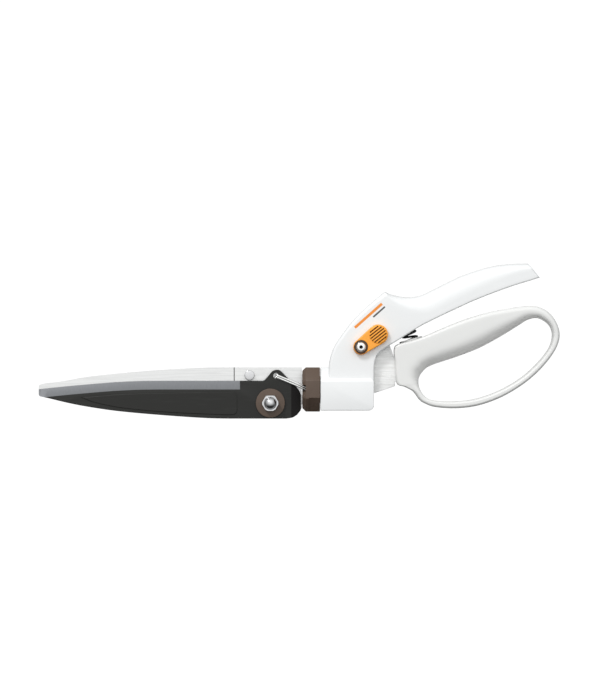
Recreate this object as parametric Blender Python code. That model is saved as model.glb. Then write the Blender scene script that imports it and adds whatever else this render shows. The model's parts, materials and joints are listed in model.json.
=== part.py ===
"""Grass shears with a swivelling blade head, built as an assembly of separate pieces.

Sizes are in millimetres, and the shape helpers turn them into metres. The pieces are modelled
about a datum: X runs along the swivel axis from the blades to the handles, Z is up, and Y = 0 is
the joint between the two halves of the housing. X = 0 is the front face of the housing. At the
end everything moves together so that the origin is the centre of the tool's box. The tool is
shown with its blades shut and its handles locked.
"""

import math

import bmesh
import bpy
from mathutils import Matrix, Vector

MM = 0.001
GAP = 0.3  # between neighbouring pieces

# Joint axes, as (x, z)
BLADE_PIVOT = (-33.1, -9.0)
HANDLE_PIVOT = (34.05, 28.05)
LOCK_PIVOT = (26.7, 28.05)

# Blades: the moving one is on the front (-Y) side and the fixed one behind it
BLADE_REACH = 186.5  # housing face to blade tips
BLADE_THICK = 2.1
MOVING_BACK = -0.15
MOVING_FRONT = MOVING_BACK - BLADE_THICK
FIXED_FRONT = 0.15
FIXED_BACK = FIXED_FRONT + BLADE_THICK
EDGE_LAND = 0.4  # steel left at a ground edge
MOVING_BEVEL = 5.7
FIXED_BEVEL = 3.5
GRIND_END = -53.2
SPINE_TOP = 14.6
SHOULDER = 5.7
PANEL_RISE = 0.4
HEEL_GRIND = 7.5  # degrees
EAR_HOLE = (-29.4, 9.1)
EAR_HOLE_RADIUS = 1.85

# Blade pivot and stop pin
BOLT_RADIUS = 3.0
BOLT_HEAD_HIGH = 4.0
NUT_FLATS = 10.0
NUT_HIGH = 4.6
NUT_DOME = 4.2
WASHER_RADIUS = 9.6
WASHER_THICK = 1.6
STOP_PIN = (-46.9, 9.3)
STOP_PIN_RADIUS = 3.3
STOP_PIN_SHANK = 2.0
STOP_PIN_PROUD = 3.0

# Swivel collar
COLLAR_FLATS = 29.2
COLLAR_FRONT = -12.0
COLLAR_CHAMFER = 2.3
SPIGOT_RADIUS = 9.0
FLANGE_RADIUS = 11.2
FLANGE_THICK = 1.5
WAVE_WASHER_THICK = 0.8
TANG_END = -2.5
TANG_HALF = 10.0

# Pull rod and link
ROD_RADIUS = 2.0
ROD_EYE_X = 0.5
ROD_EYE_RADIUS = 3.0
ROD_EYE_HALF = 1.5
BALL_RADIUS = 3.2
BALL_X = 29.5
LINK_WIRE = 0.6  # radius
LINK_SPREAD = 0.66  # half the distance between the two strands
LINK_SLOPE = math.radians(22.8)
LINK_LOOP = 2.2
LINK_PIN_RADIUS = 1.2
LINK_PIN_HEAD = 2.1
LINK_Y = MOVING_FRONT - LINK_WIRE - 0.45

# Housing with the upper handle
BARREL_HALF = 14.0
BARREL_TOP = 14.6
BARREL_FLOOR = -13.8
BARREL_BACK = 35.2
BARREL_FACET = 5.7  # where the barrel's side starts to lean in
FRONT_WALL = 8.4
ARCH_HALF = 12.0
WALL = 2.7
ROUNDING = 3.2
MECHANISM_END = 47.0
SPRING_BLOCK = (50.0, 70.0)  # solid stretch of the handle that holds the spring
SCREWS = [(19, -9.7), (13, 22), (42, 53), (84, 61.5), (128, 75)]
SCREW_RADIUS = 1.25
SCREW_HEAD = 2.3
SCREW_SINK = 5.0  # depth of the hole that takes the head
SCREW_LENGTH = 11.0
BOSS_RADIUS = 2.9

# Lower handle
ARM_HALF = 5.5
ARM_HUB = 4.6
HANDLE_PIN = 2.0
HANDLE_PIN_HALF = 8.8
PIN_BOSS = 4.3
FORK_FLOOR = -7.0
FORK_PLAY = 0.38
SOCKET_END = 58.0
GRIP_HALF = 10.5
GRIP_ROUNDING = 1.9

# Return spring
SPRING_CENTRE = (59.1, 35.4)
SPRING_TILT = math.radians(15.7)
SPRING_HALF = 10.0
SPRING_RADIUS = 4.6
SPRING_WIRE = 0.75
SPRING_TURNS = 5.0
SPRING_PHASE = math.radians(-34)
SPRING_RIM = 2.0  # wall of the rim that stands up round the spring on the lower handle
SPRING_RIM_TOP = -2.1  # along the spring's axis from its centre
POCKET_RADIUS = SPRING_RADIUS + SPRING_WIRE + GAP

# Lock lever
LEVER_THICK = 3.4
LEVER_HUB = 5.1
PAD_CENTRE = (37.9, 36.3)
PAD_RADIUS = 6.6
LOCK_POST = 2.9
LOCK_CAM = 2.3
LOCK_WASHER = 4.4
LOCK_RECESS = 1.7
LOCK_WASHER_THICK = 0.7
LOCK_SCREW_HEAD = 3.3
LOCK_SCREW = 1.5


# ---------------------------------------------------------------- scene and materials

def clear_scene():
    for obj in list(bpy.data.objects):
        bpy.data.objects.remove(obj)


def new_collection(name):
    made = bpy.data.collections.new(name)
    bpy.context.scene.collection.children.link(made)
    return made


def new_material(name, colour, roughness, metallic=0.0):
    made = bpy.data.materials.new(name)
    made.use_nodes = True
    shader = made.node_tree.nodes["Principled BSDF"]
    shader.inputs["Base Color"].default_value = (*colour, 1)
    shader.inputs["Roughness"].default_value = roughness
    shader.inputs["Metallic"].default_value = metallic
    return made


# ---------------------------------------------------------------- outlines, as (x, z) lists

def arc(centre, radius, start, end, steps):
    """Points on a circle from the start angle to the end angle, in degrees."""
    angles = [math.radians(start + (end - start) * i / steps) for i in range(steps + 1)]
    return [(centre[0] + radius * math.cos(a), centre[1] + radius * math.sin(a)) for a in angles]


def smooth(points, steps=3):
    """An open curve through a few points (Catmull-Rom)."""
    ends = [points[0], *points, points[-1]]
    made = []
    for a, b, c, d in zip(ends, ends[1:], ends[2:], ends[3:]):
        for i in range(steps):
            t = i / steps
            made.append(tuple(
                0.5 * (2 * q + (r - p) * t + (2 * p - 5 * q + 4 * r - s) * t * t
                       + (3 * q - p - 3 * r + s) * t ** 3)
                for p, q, r, s in zip(a, b, c, d)))
    return made + [points[-1]]


# ---------------------------------------------------------------- solids

def from_mesh(name, mesh):
    obj = bpy.data.objects.new(name, mesh)
    bpy.context.scene.collection.objects.link(obj)
    return obj


def from_bmesh(name, work):
    mesh = bpy.data.meshes.new(name)
    work.to_mesh(mesh)
    work.free()
    return from_mesh(name, mesh)


def settled(obj):
    """A plain closed mesh with the object's modifiers and place worked in."""
    bpy.context.view_layer.update()
    graph = bpy.context.evaluated_depsgraph_get()
    mesh = bpy.data.meshes.new_from_object(obj.evaluated_get(graph))
    mesh.transform(obj.matrix_world)
    name = obj.name
    bpy.data.objects.remove(obj)
    work = bmesh.new()
    work.from_mesh(mesh)
    bmesh.ops.remove_doubles(work, verts=work.verts, dist=1e-6)
    work.to_mesh(mesh)
    work.free()
    return from_mesh(name, mesh)


def slab(name, outlines, low, high, rounding=0.0, inset=0.0, steps=1):
    """A plate parallel to XZ from Y = low to Y = high; outlines after the first are holes."""
    curve = bpy.data.curves.new(name, "CURVE")
    curve.dimensions = "2D"
    curve.fill_mode = "BOTH"
    curve.extrude = ((high - low) / 2 - rounding) * MM
    curve.bevel_depth = rounding * MM
    curve.bevel_resolution = steps
    curve.offset = -(rounding + inset) * MM
    for outline in outlines:
        spline = curve.splines.new("POLY")
        spline.points.add(len(outline) - 1)
        for point, (x, z) in zip(spline.points, outline):
            point.co = (x * MM, z * MM, 0, 1)
        spline.use_cyclic_u = True
    flat = from_mesh(name, curve)
    flat.location.y = (low + high) / 2 * MM
    flat.rotation_euler.x = math.radians(90)
    made = settled(flat)
    work = bmesh.new()
    work.from_mesh(made.data)
    bmesh.ops.dissolve_limit(work, angle_limit=math.radians(0.3), verts=work.verts, edges=work.edges)
    bmesh.ops.recalc_face_normals(work, faces=work.faces)
    work.to_mesh(made.data)
    work.free()
    return made


def block(name, low, high):
    work = bmesh.new()
    bmesh.ops.create_cube(work, size=1)
    low, high = Vector(low) * MM, Vector(high) * MM
    bmesh.ops.scale(work, vec=high - low, verts=work.verts)
    bmesh.ops.translate(work, vec=(high + low) / 2, verts=work.verts)
    return from_bmesh(name, work)


def rod(name, radius, start, end, sides=24, end_radius=None, turn=0.0):
    """A cylinder or cone between two points; turn rotates its sides about its own axis."""
    start, end = Vector(start) * MM, Vector(end) * MM
    axis = end - start
    work = bmesh.new()
    bmesh.ops.create_cone(
        work, cap_ends=True, segments=sides, depth=axis.length, radius1=radius * MM,
        radius2=(radius if end_radius is None else end_radius) * MM)
    place = Matrix.Translation((start + end) / 2) @ axis.to_track_quat("Z", "Y").to_matrix().to_4x4()
    bmesh.ops.transform(work, matrix=place @ Matrix.Rotation(turn, 4, "Z"), verts=work.verts)
    return from_bmesh(name, work)


def across(name, radius, place, low, high, sides=24, turn=0.0):
    """A cylinder along Y at an (x, z) place."""
    return rod(name, radius, (place[0], low, place[1]), (place[0], high, place[1]), sides, turn=turn)


def hexagon(name, flats, place, low, high):
    return across(name, flats / math.sqrt(3), place, low, high, sides=6, turn=math.radians(90))


def sphere(name, radius, centre, segments=16):
    work = bmesh.new()
    bmesh.ops.create_uvsphere(work, u_segments=segments, v_segments=segments // 2, radius=radius * MM)
    bmesh.ops.translate(work, vec=Vector(centre) * MM, verts=work.verts)
    return from_bmesh(name, work)


def wire(name, points, radius):
    curve = bpy.data.curves.new(name, "CURVE")
    curve.dimensions = "3D"
    curve.bevel_depth = radius * MM
    curve.bevel_resolution = 2
    curve.use_fill_caps = True
    spline = curve.splines.new("POLY")
    spline.points.add(len(points) - 1)
    for point, place in zip(spline.points, points):
        point.co = (*(Vector(place) * MM), 1)
    return settled(from_mesh(name, curve))


def combine(obj, other, how):
    """Applies a Boolean and keeps the other object as a hidden cutter."""
    step = obj.modifiers.new(how.lower(), "BOOLEAN")
    step.operation = how
    step.object = other
    step.solver = "EXACT"
    made = settled(obj)
    other.hide_render = True
    other.display_type = "WIRE"
    for holder in other.users_collection:
        holder.objects.unlink(other)
    CUTTERS.objects.link(other)
    return made


def cut(obj, *others):
    for other in others:
        obj = combine(obj, other, "DIFFERENCE")
    return obj


def join(obj, *others):
    for other in others:
        obj = combine(obj, other, "UNION")
    return obj


def leaning(obj, place, angle):
    """Turns a piece about the line along Y through an (x, z) place, from +X towards -Z."""
    centre = Matrix.Translation(Vector((place[0], 0, place[1])) * MM)
    obj.data.transform(centre @ Matrix.Rotation(angle, 4, "Y") @ centre.inverted())
    return obj


# ---------------------------------------------------------------- blade head

def toward_tip(share):
    """X at a share of the way from the end of the grind to the blade tips."""
    return GRIND_END - share * (BLADE_REACH + GRIND_END)


def fixed_blade():
    spine = smooth([(toward_tip(1), 3.2), (toward_tip(0.8), 7.7), (toward_tip(0.5), 12.0),
                    (toward_tip(0.16), SPINE_TOP)])
    root = COLLAR_FRONT - GAP
    notch = ROD_EYE_RADIUS + 0.8
    tang = [(root, SPINE_TOP), (root, TANG_HALF), (TANG_END, TANG_HALF), (TANG_END, notch),
            (root, notch), (root, -notch), (TANG_END, -notch), (TANG_END, -TANG_HALF),
            (root, -TANG_HALF), (root, -12.5)]
    belly = [(-18, -17.0), (-44, -17.0), (-51, -12.5), (-58, -4.5)]
    edge = smooth([(toward_tip(0.08), -1.6), (toward_tip(0.43), -1.2), (toward_tip(0.73), -2.2),
                   (toward_tip(1), -2.9)])
    blade = slab("fixed_blade", [spine + tang + belly + edge], FIXED_FRONT, FIXED_BACK)
    ground = grinder("fixed_grind", edge, FIXED_BEVEL, FIXED_BACK, FIXED_FRONT + EDGE_LAND)
    bolt = across("fixed_bolt_hole", BOLT_RADIUS + GAP, BLADE_PIVOT, -1, 5)
    pin = across("fixed_pin_hole", STOP_PIN_SHANK + GAP, STOP_PIN, -1, 5)
    return cut(blade, ground, bolt, pin)


def grinder(name, edge, width, face, land):
    """A long wedge that takes the face off along a cutting edge. Width is measured into the blade,
    and is negative below the edge; the cut runs from the face to the land left at the edge."""
    over = -0.5 if face < land else 0.5
    side = math.copysign(3.0, -width)
    work = bmesh.new()
    ends = [(edge[0][0] * 2 - edge[1][0], edge[0][1])] + edge[1:-1]
    ends += [(edge[-1][0] + (edge[-1][0] - edge[-2][0]) * 0.02, edge[-1][1])]
    rows = []
    for x, z in ends:
        corner = [(face, z + width), (land, z), (land, z + side), (face + over, z + side),
                  (face + over, z + width)]
        rows.append([work.verts.new(Vector((x, y, h)) * MM) for y, h in corner])
    count = len(rows[0])
    for a, b in zip(rows, rows[1:]):
        for i in range(count):
            work.faces.new((a[i], a[(i + 1) % count], b[(i + 1) % count], b[i]))
    work.faces.new(rows[0])
    work.faces.new(rows[-1])
    bmesh.ops.recalc_face_normals(work, faces=work.faces)
    return from_bmesh(name, work)


def moving_blade():
    edge = smooth([(toward_tip(1), 0.1), (toward_tip(0.8), 2.8), (toward_tip(0.58), 5.1),
                   (toward_tip(0.44), SHOULDER)])
    back = [(GRIND_END, SHOULDER), (-37.4, SHOULDER), (-33.2, 10.4)]
    back += arc((-28.9, 8.2), 4.8, 140, 45, 5)
    back += [(-16.0, 1.6), (-13.6, -1.4), (-12.9, -4.0), (-12.9, -13.4), (-15.3, -16.8),
             (-18.2, -18.6), (-22.5, -19.3)]
    belly = smooth([(toward_tip(0.05), -19.3), (toward_tip(0.35), -17.4), (toward_tip(0.58), -14.7),
                    (toward_tip(0.8), -10.3), (toward_tip(0.96), -5.6)])
    nose = [(toward_tip(1) + 1.6, -4.7), (toward_tip(1) + 0.1, -3.0)]
    blade = slab("moving_blade", [edge + back + belly + nose], MOVING_FRONT, MOVING_BACK)
    rim = edge + [(GRIND_END, SHOULDER)]
    blade = cut(blade, grinder("moving_grind", rim, -MOVING_BEVEL, MOVING_FRONT,
                               MOVING_BACK - EDGE_LAND))
    panel = slab("blade_panel", [panel_outline()], MOVING_FRONT - PANEL_RISE, MOVING_FRONT + 0.5)
    blade = join(blade, panel)
    heel = block("heel_grind", (0, -6, -30), (20, 0, 10))
    place = Matrix.Translation(Vector((-19.5, MOVING_FRONT, 0)) * MM)
    heel.data.transform(place @ Matrix.Rotation(math.radians(HEEL_GRIND), 4, "Z"))
    bolt = across("moving_bolt_hole", BOLT_RADIUS + GAP, BLADE_PIVOT, -5, 3)
    ear = across("ear_hole", EAR_HOLE_RADIUS, EAR_HOLE, -5, 3, sides=20)
    return cut(blade, heel, bolt, ear)


def panel_outline():
    """The raised panel stamped into the moving blade's front face."""
    top = smooth([(toward_tip(0.78), -5.2), (toward_tip(0.61), -3.2), (toward_tip(0.43), -2.4)], 2)
    side = [(-57.5, -1.9), (-55.0, -3.9), (-55.0, -15.0), (-57.5, -17.0)]
    belly = smooth([(toward_tip(0.07), -17.1), (toward_tip(0.35), -15.3), (toward_tip(0.58), -12.3),
                    (toward_tip(0.73), -8.4)], 2)
    return top + side + belly


def stop_pin():
    head = across("stop_pin", STOP_PIN_RADIUS, STOP_PIN, FIXED_FRONT - GAP - STOP_PIN_PROUD,
                  FIXED_FRONT - GAP)
    shank = across("stop_pin_shank", STOP_PIN_SHANK, STOP_PIN, FIXED_FRONT - GAP - 0.5,
                   FIXED_BACK + GAP + 0.3)
    rivet = across("stop_pin_rivet", STOP_PIN_SHANK + 0.8, STOP_PIN, FIXED_BACK + GAP,
                   FIXED_BACK + GAP + 0.8)
    return join(head, shank, rivet)


def pivot_stack():
    """The bolt from the back, a washer on each side and the domed nut in front."""
    x, z = BLADE_PIVOT
    washer_front = MOVING_FRONT - GAP - WASHER_THICK
    washer_back = FIXED_BACK + GAP + WASHER_THICK
    front = washer("front_washer", WASHER_RADIUS, BOLT_RADIUS + GAP, BLADE_PIVOT, washer_front,
                   MOVING_FRONT - GAP)
    back = washer("back_washer", WASHER_RADIUS - 2, BOLT_RADIUS + GAP, BLADE_PIVOT,
                  FIXED_BACK + GAP, washer_back)
    nut_foot = washer_front - GAP
    nut = hexagon("pivot_nut", NUT_FLATS, BLADE_PIVOT, nut_foot - NUT_HIGH, nut_foot)
    dome = sphere("nut_dome", NUT_DOME, (x, nut_foot - NUT_HIGH, z), 20)
    bore = across("nut_bore", BOLT_RADIUS + GAP, BLADE_PIVOT, nut_foot - NUT_HIGH - 1, nut_foot + 1)
    nut = cut(join(nut, dome), bore)
    bolt = hexagon("pivot_bolt", NUT_FLATS, BLADE_PIVOT, washer_back + GAP,
                   washer_back + GAP + BOLT_HEAD_HIGH)
    shank = across("bolt_shank", BOLT_RADIUS, BLADE_PIVOT, nut_foot - NUT_HIGH, washer_back + 1)
    return [front, back, nut, join(bolt, shank)]


def washer(name, radius, hole, place, low, high, sides=36):
    disc = across(name, radius, place, low, high, sides)
    return cut(disc, across(name + "_hole", hole, place, low - 1, high + 1))


def swivel_collar():
    size = COLLAR_FLATS / 2 / math.cos(math.pi / 8)
    turn = math.radians(22.5)
    edge = COLLAR_FRONT + COLLAR_CHAMFER
    body = rod("swivel_collar", size, (edge, 0, 0), (-GAP, 0, 0), 8, turn=turn)
    nose = rod("collar_nose", size - COLLAR_CHAMFER * 0.8, (COLLAR_FRONT, 0, 0),
               (edge + 0.001, 0, 0), 8, end_radius=size, turn=turn)
    spigot = rod("collar_spigot", SPIGOT_RADIUS, (-1, 0, 0), (FRONT_WALL + 1, 0, 0), 32)
    flange = rod("collar_flange", FLANGE_RADIUS, (FRONT_WALL + GAP, 0, 0),
                 (FRONT_WALL + GAP + FLANGE_THICK, 0, 0), 32)
    collar = join(body, nose, spigot, flange)
    room = ROD_EYE_RADIUS + 0.5
    chamber = block("link_chamber", (COLLAR_FRONT - 1, LINK_Y - LINK_WIRE - 2.2, -room),
                    (ROD_EYE_X + ROD_EYE_RADIUS + 0.7, ROD_RADIUS + GAP, room))
    mouth = block("link_mouth", (COLLAR_FRONT - 1, -COLLAR_FLATS, -1.6),
                  (COLLAR_FRONT + COLLAR_CHAMFER, 0, room + 0.9))
    slot = block("tang_slot", (COLLAR_FRONT - 1, FIXED_FRONT - GAP, -TANG_HALF - GAP),
                 (TANG_END + GAP, FIXED_BACK + GAP, TANG_HALF + GAP))
    bore = rod("rod_bore", ROD_RADIUS + GAP, (-1, 0, 0), (FRONT_WALL + 5, 0, 0))
    return cut(collar, chamber, mouth, slot, bore)


def wave_washer():
    start = FRONT_WALL + 2 * GAP + FLANGE_THICK
    disc = rod("wave_washer", FLANGE_RADIUS - 0.6, (start, 0, 0), (start + WAVE_WASHER_THICK, 0, 0), 32)
    return cut(disc, rod("wave_washer_hole", 6.5, (start - 1, 0, 0), (start + 2, 0, 0)))


# ---------------------------------------------------------------- pull rod

def drive_rod():
    shank = rod("drive_rod", ROD_RADIUS, (ROD_EYE_X + 1.5, 0, 0), (BALL_X, 0, 0), 20)
    eye = across("rod_eye", ROD_EYE_RADIUS, (ROD_EYE_X, 0), -ROD_EYE_HALF, ROD_EYE_HALF)
    ball = sphere("rod_ball", BALL_RADIUS, (BALL_X, 0, 0), 20)
    hole = across("rod_eye_hole", LINK_PIN_RADIUS + 0.2, (ROD_EYE_X, 0), -5, 5, 16)
    return cut(join(shank, eye, ball), hole)


def rod_pin():
    head_foot = LINK_Y - LINK_WIRE - 0.2
    pin = across("rod_pin", LINK_PIN_RADIUS, (ROD_EYE_X, 0), head_foot - 0.5, ROD_EYE_HALF, 16)
    head = across("rod_pin_head", LINK_PIN_HEAD, (ROD_EYE_X, 0), head_foot - 1.0, head_foot, 16)
    return join(pin, head)


def link_wire():
    """A bent wire: an eye round the rod's pin, and two strands whose ends hook into the blade."""
    slope = Vector((-math.cos(LINK_SLOPE), math.sin(LINK_SLOPE)))
    across_slope = Vector((slope.y, -slope.x)) * LINK_SPREAD  # up and to the right
    ear = Vector(EAR_HOLE)
    elbow_x = ear.x + ear.y / math.tan(LINK_SLOPE)
    route = [ear + across_slope, Vector((elbow_x, LINK_SPREAD * 1.03)), Vector((-2.4, LINK_SPREAD))]
    loop = [Vector(p) for p in arc((ROD_EYE_X, 0), LINK_LOOP, 150, -150, 12)]
    back = [Vector((-2.4, -LINK_SPREAD)), Vector((elbow_x, -LINK_SPREAD * 1.03)), ear - across_slope]
    flat = [(p.x, LINK_Y, p.y) for p in route + loop + back]
    flat[0], start = hook(flat[0], flat[1])
    flat[-1], end = hook(flat[-1], flat[-2])
    return wire("link_wire", start + flat + end[::-1], LINK_WIRE)


def hook(end, inner):
    """The bend that takes a strand into the ear hole: (where it starts, its points from the tip)."""
    end, inner = Vector(end), Vector(inner)
    radius = 0.8
    toward = (inner - end).normalized() * radius
    tip = end + Vector((0, MOVING_BACK - 0.3 - LINK_Y, 0))
    corner = [end + Vector((0, radius, 0)), end + toward * 0.3 + Vector((0, radius * 0.3, 0))]
    return tuple(end + toward), [tuple(tip), *[tuple(p) for p in corner]]


# ---------------------------------------------------------------- housing

def housing_outline():
    """The side view of the housing with the upper handle, clockwise from the barrel's front."""
    arch = smooth([(5.3, 6.9), (6.0, 18), (9.0, 27.7), (20.5, 44.5), (42.4, 64.6)])
    crest = smooth([(42.4, 64.6), (48.5, 62.4), (56.5, 61.1), (65.7, 62.0), (83.4, 70.3),
                    (101.9, 78.2), (120, 82.4), (137.2, 83.2)])
    under = smooth([(144.6, 73.9), (127.6, 68.6), (101.4, 58.7), (76.6, 47.2), (54.8, 34.8),
                    (45.0, 28.8)])
    throat = smooth([(45.0, 28.8), (40.3, 25.8), (36.9, 22.2), (BARREL_BACK, 15.0)])
    return arch + crest[1:] + under + throat[1:] + [(BARREL_BACK, 0)]


def barrel_outline():
    corner = arc((BARREL_BACK - 3.6, BARREL_FLOOR + 3.6), 3.6, 0, -90, 4)
    return [(0, BARREL_FLOOR), (0, BARREL_TOP), (BARREL_BACK - 12, BARREL_TOP),
            (BARREL_BACK, BARREL_FACET)] + corner


def housing_half(name, side):
    """One half of the housing, on the side of Y given by -1 or 1, before its own holes."""
    def span(start, end):
        return sorted((side * start, side * end))

    skin = slab(name, [barrel_outline()], *span(0.15, BARREL_HALF))
    lean = math.atan2(BARREL_TOP - BARREL_FACET, BARREL_HALF - 6.2)
    facet = block(name + "_facet", (-5, 0, -20), (50, 20, 20))
    facet.data.transform(Matrix.Rotation(lean, 4, "X"))
    facet.data.transform(Matrix.Translation(Vector((0, BARREL_HALF, BARREL_FACET)) * MM))
    if side < 0:
        facet.data.transform(Matrix.Scale(-1, 4, (0, 1, 0)))
        facet.data.flip_normals()
    skin = cut(skin, facet)
    whole = slab(name + "_arch", [housing_outline()], -ARCH_HALF, ARCH_HALF, ROUNDING)
    keep = block(name + "_keep", (-20, span(0.15, 40)[0], -40), (200, span(0.15, 40)[1], 120))
    arch = combine(whole, keep, "INTERSECT")
    skin = join(skin, arch)
    deep = ARCH_HALF - WALL
    for number, (start, end) in enumerate([(FRONT_WALL + 5.5, MECHANISM_END),
                                           (SPRING_BLOCK[1], 138)]):
        hollow = slab(f"{name}_hollow_{number}", [inner_outline(start, end)], -deep, deep)
        skin = cut(skin, hollow)
    for number, place in enumerate(SCREWS):
        skin = join(skin, across(f"{name}_boss_{number}", BOSS_RADIUS, place, *span(0.15, deep + 1), 16))
    skin = join(skin, across(name + "_pin_boss", PIN_BOSS, HANDLE_PIVOT, *span(ARM_HALF + GAP, deep + 1)))
    return cut(skin, *common_cutters(name))


def inner_outline(start, end):
    """The outline of the hollow between two stations along X, a wall's thickness in."""
    if start < SPRING_BLOCK[0]:
        floor, back = BARREL_FLOOR + WALL, BARREL_BACK - WALL
        return [(start, floor), (start, 33), (20.5 + 4, 42.5), (42.4, 59.5), (end, 58.5),
                (end, 34.5), (38.5, 29.5), (back, 24.5), (back, floor)]
    return [(start, 60.2), (84, 66.5), (102, 74.4), (118, 78.2), (end - 3, 79.4), (end, 75.5),
            (126, 71.6), (101, 61.9), (76.6, 50.7), (start, 47.4)]


def common_cutters(name):
    """What both halves make room for: the collar, the rod, the arm, the pin and the spring."""
    bore = rod(name + "_bore", SPIGOT_RADIUS + GAP, (-5, 0, 0), (FRONT_WALL + 0.1, 0, 0), 32)
    groove = rod(name + "_groove", FLANGE_RADIUS + GAP, (FRONT_WALL, 0, 0),
                 (FRONT_WALL + FLANGE_THICK + WAVE_WASHER_THICK + 3 * GAP, 0, 0), 32)
    passage = rod(name + "_passage", ROD_RADIUS + GAP, (5, 0, 0), (20, 0, 0))
    half = ARM_HALF + GAP
    slot = slab(name + "_slot", [[(22, FORK_FLOOR - 1), (60, FORK_FLOOR - 1), (60, 20),
                                  (46.6, 33.5), (30, 36), (22, 30)]], -half, half)
    pin = across(name + "_pin_hole", HANDLE_PIN + 0.1, HANDLE_PIVOT, -HANDLE_PIN_HALF - GAP,
                 HANDLE_PIN_HALF + GAP)
    return [bore, groove, passage, slot, pin, spring_pocket(name + "_pocket", SPRING_HALF + GAP)]


def spring_pocket(name, end):
    """The round pocket that the spring sits in, to a distance along its axis."""
    centre, axis = spring_line()
    return rod(name, POCKET_RADIUS, centre - axis * end, centre + axis * end, 24)


def spring_line():
    """The spring's centre and the direction of its axis."""
    return (Vector((SPRING_CENTRE[0], 0, SPRING_CENTRE[1])),
            Vector((-math.sin(SPRING_TILT), 0, math.cos(SPRING_TILT))))


def housing_front():
    half = housing_half("housing_front", -1)
    boss = across("lock_boss", LOCK_POST + 1.5, LOCK_PIVOT, -ARCH_HALF + 1, -ARM_HALF - GAP)
    half = join(half, boss)
    lock = across("lock_hole", LOCK_POST + GAP, LOCK_PIVOT, -ARCH_HALF - 3, 0)
    pilots = [across(f"pilot_{i}", SCREW_RADIUS + GAP, place, -SCREW_LENGTH + 4, 1, 16)
              for i, place in enumerate(SCREWS)]
    return cut(half, lock, *pilots)


def housing_back():
    half = housing_half("housing_back", 1)
    cuts = []
    for i, place in enumerate(SCREWS):
        face = screw_face(i)
        cuts.append(across(f"screw_hole_{i}", SCREW_RADIUS + GAP, place, -1, 20, 16))
        cuts.append(across(f"screw_sink_{i}", SCREW_HEAD + GAP, place, face - SCREW_SINK, 20, 16))
    return cut(half, *cuts)


def screw_face(number):
    """The Y of the back face that a housing screw goes into."""
    return BARREL_HALF if SCREWS[number][1] < 0 else ARCH_HALF


def housing_screw(number):
    place = SCREWS[number]
    seat = screw_face(number) - SCREW_SINK + GAP
    name = f"housing_screw_{number + 1}"
    head = across(name, SCREW_HEAD, place, seat, seat + 1.8, 20)
    shank = across(name + "_shank", SCREW_RADIUS, place, seat - SCREW_LENGTH, seat + 0.5, 16)
    drive = hexagon(name + "_drive", 2.2, place, seat + 0.8, seat + 3)
    return cut(join(head, shank), drive)


def handle_pivot_pin():
    return across("handle_pivot_pin", HANDLE_PIN, HANDLE_PIVOT, -HANDLE_PIN_HALF, HANDLE_PIN_HALF)


# ---------------------------------------------------------------- lower handle

def drive_arm():
    hub = arc(HANDLE_PIVOT, ARM_HUB, 75, 215, 8)
    front = [(30.8, 23.0), (27.6, 12), (24.4, 3), (24.4, FORK_FLOOR)]
    base = [(35.0, FORK_FLOOR), (35.0, -2.6), (49.2, 2.2), (49.2, 5.0), (SOCKET_END, 8.0),
            (SOCKET_END, 19.0), (48.6, 21.5), (45.6, 29.6)]
    plate = slab("drive_arm", [hub[::-1] + base[::-1] + front[::-1]], -ARM_HALF, ARM_HALF)
    swing = math.atan2(HANDLE_PIVOT[0] - BALL_X, HANDLE_PIVOT[1])
    reach = HANDLE_PIVOT[1] / math.cos(swing)
    wide = BALL_RADIUS + FORK_PLAY
    x, z = HANDLE_PIVOT
    fork = block("ball_slot", (x - wide, -wide, z - reach - 14), (x + wide, wide, z - reach + 5.5))
    strip = ROD_RADIUS + FORK_PLAY
    notch = block("rod_notch", (x - 14, -strip, z - reach - 14), (x, strip, z - reach + 3.6))
    pin = across("arm_pin_hole", HANDLE_PIN + GAP, HANDLE_PIVOT, -20, 20)
    return cut(plate, leaning(fork, HANDLE_PIVOT, swing), leaning(notch, HANDLE_PIVOT, swing), pin)


def lower_grip():
    front = [(49.0, 26.2), (49.6, 12), (50.2, 6.0), (51.4, 2.9), (55.4, 1.8)]
    bow = smooth([(55.4, 1.8), (61.2, -1.3), (65.6, -6.9), (71.6, -10.2), (80, -12.1), (91, -12.3),
                  (103, -10.8), (118, -5.6), (132, 2), (144.7, 12.7), (154.2, 24.8), (158, 35.5),
                  (156, 43.7), (150, 51.3), (141.2, 55), (128, 54.1), (110.4, 50.8), (93.5, 45.5),
                  (75, 38), (59.8, 32.0), (51.0, 29.8)], 2)
    hole = smooth([(65, 7.2), (66.2, -1), (71.9, -6.5), (80, -7.8), (91, -7.8), (104, -5.9),
                   (120, 0.2), (136.4, 10.5), (147, 21.0), (153.1, 30.6), (153.4, 38.5),
                   (150.5, 43.4), (143, 47.0), (135, 45.0), (118.5, 34.8), (106.1, 27.9),
                   (93.5, 22.8), (80.9, 18.5), (70.0, 14.2)], 2)
    grip = slab("lower_grip", [front + bow[1:], hole], -GRIP_HALF, GRIP_HALF, GRIP_ROUNDING)
    socket = slab("arm_socket", [[(45, 4.8), (49.4, 4.7), (SOCKET_END + GAP, 7.6),
                                  (SOCKET_END + GAP, 19.4), (48.4, 21.9), (45, 22)]],
                  -ARM_HALF - GAP, ARM_HALF + GAP)
    centre, axis = spring_line()
    rim = rod("spring_rim", POCKET_RADIUS + SPRING_RIM, centre - axis * SPRING_HALF * 0.7,
              centre + axis * SPRING_RIM_TOP, 32)
    return cut(join(grip, rim), socket, spring_pocket("grip_pocket", SPRING_HALF + GAP))


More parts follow.
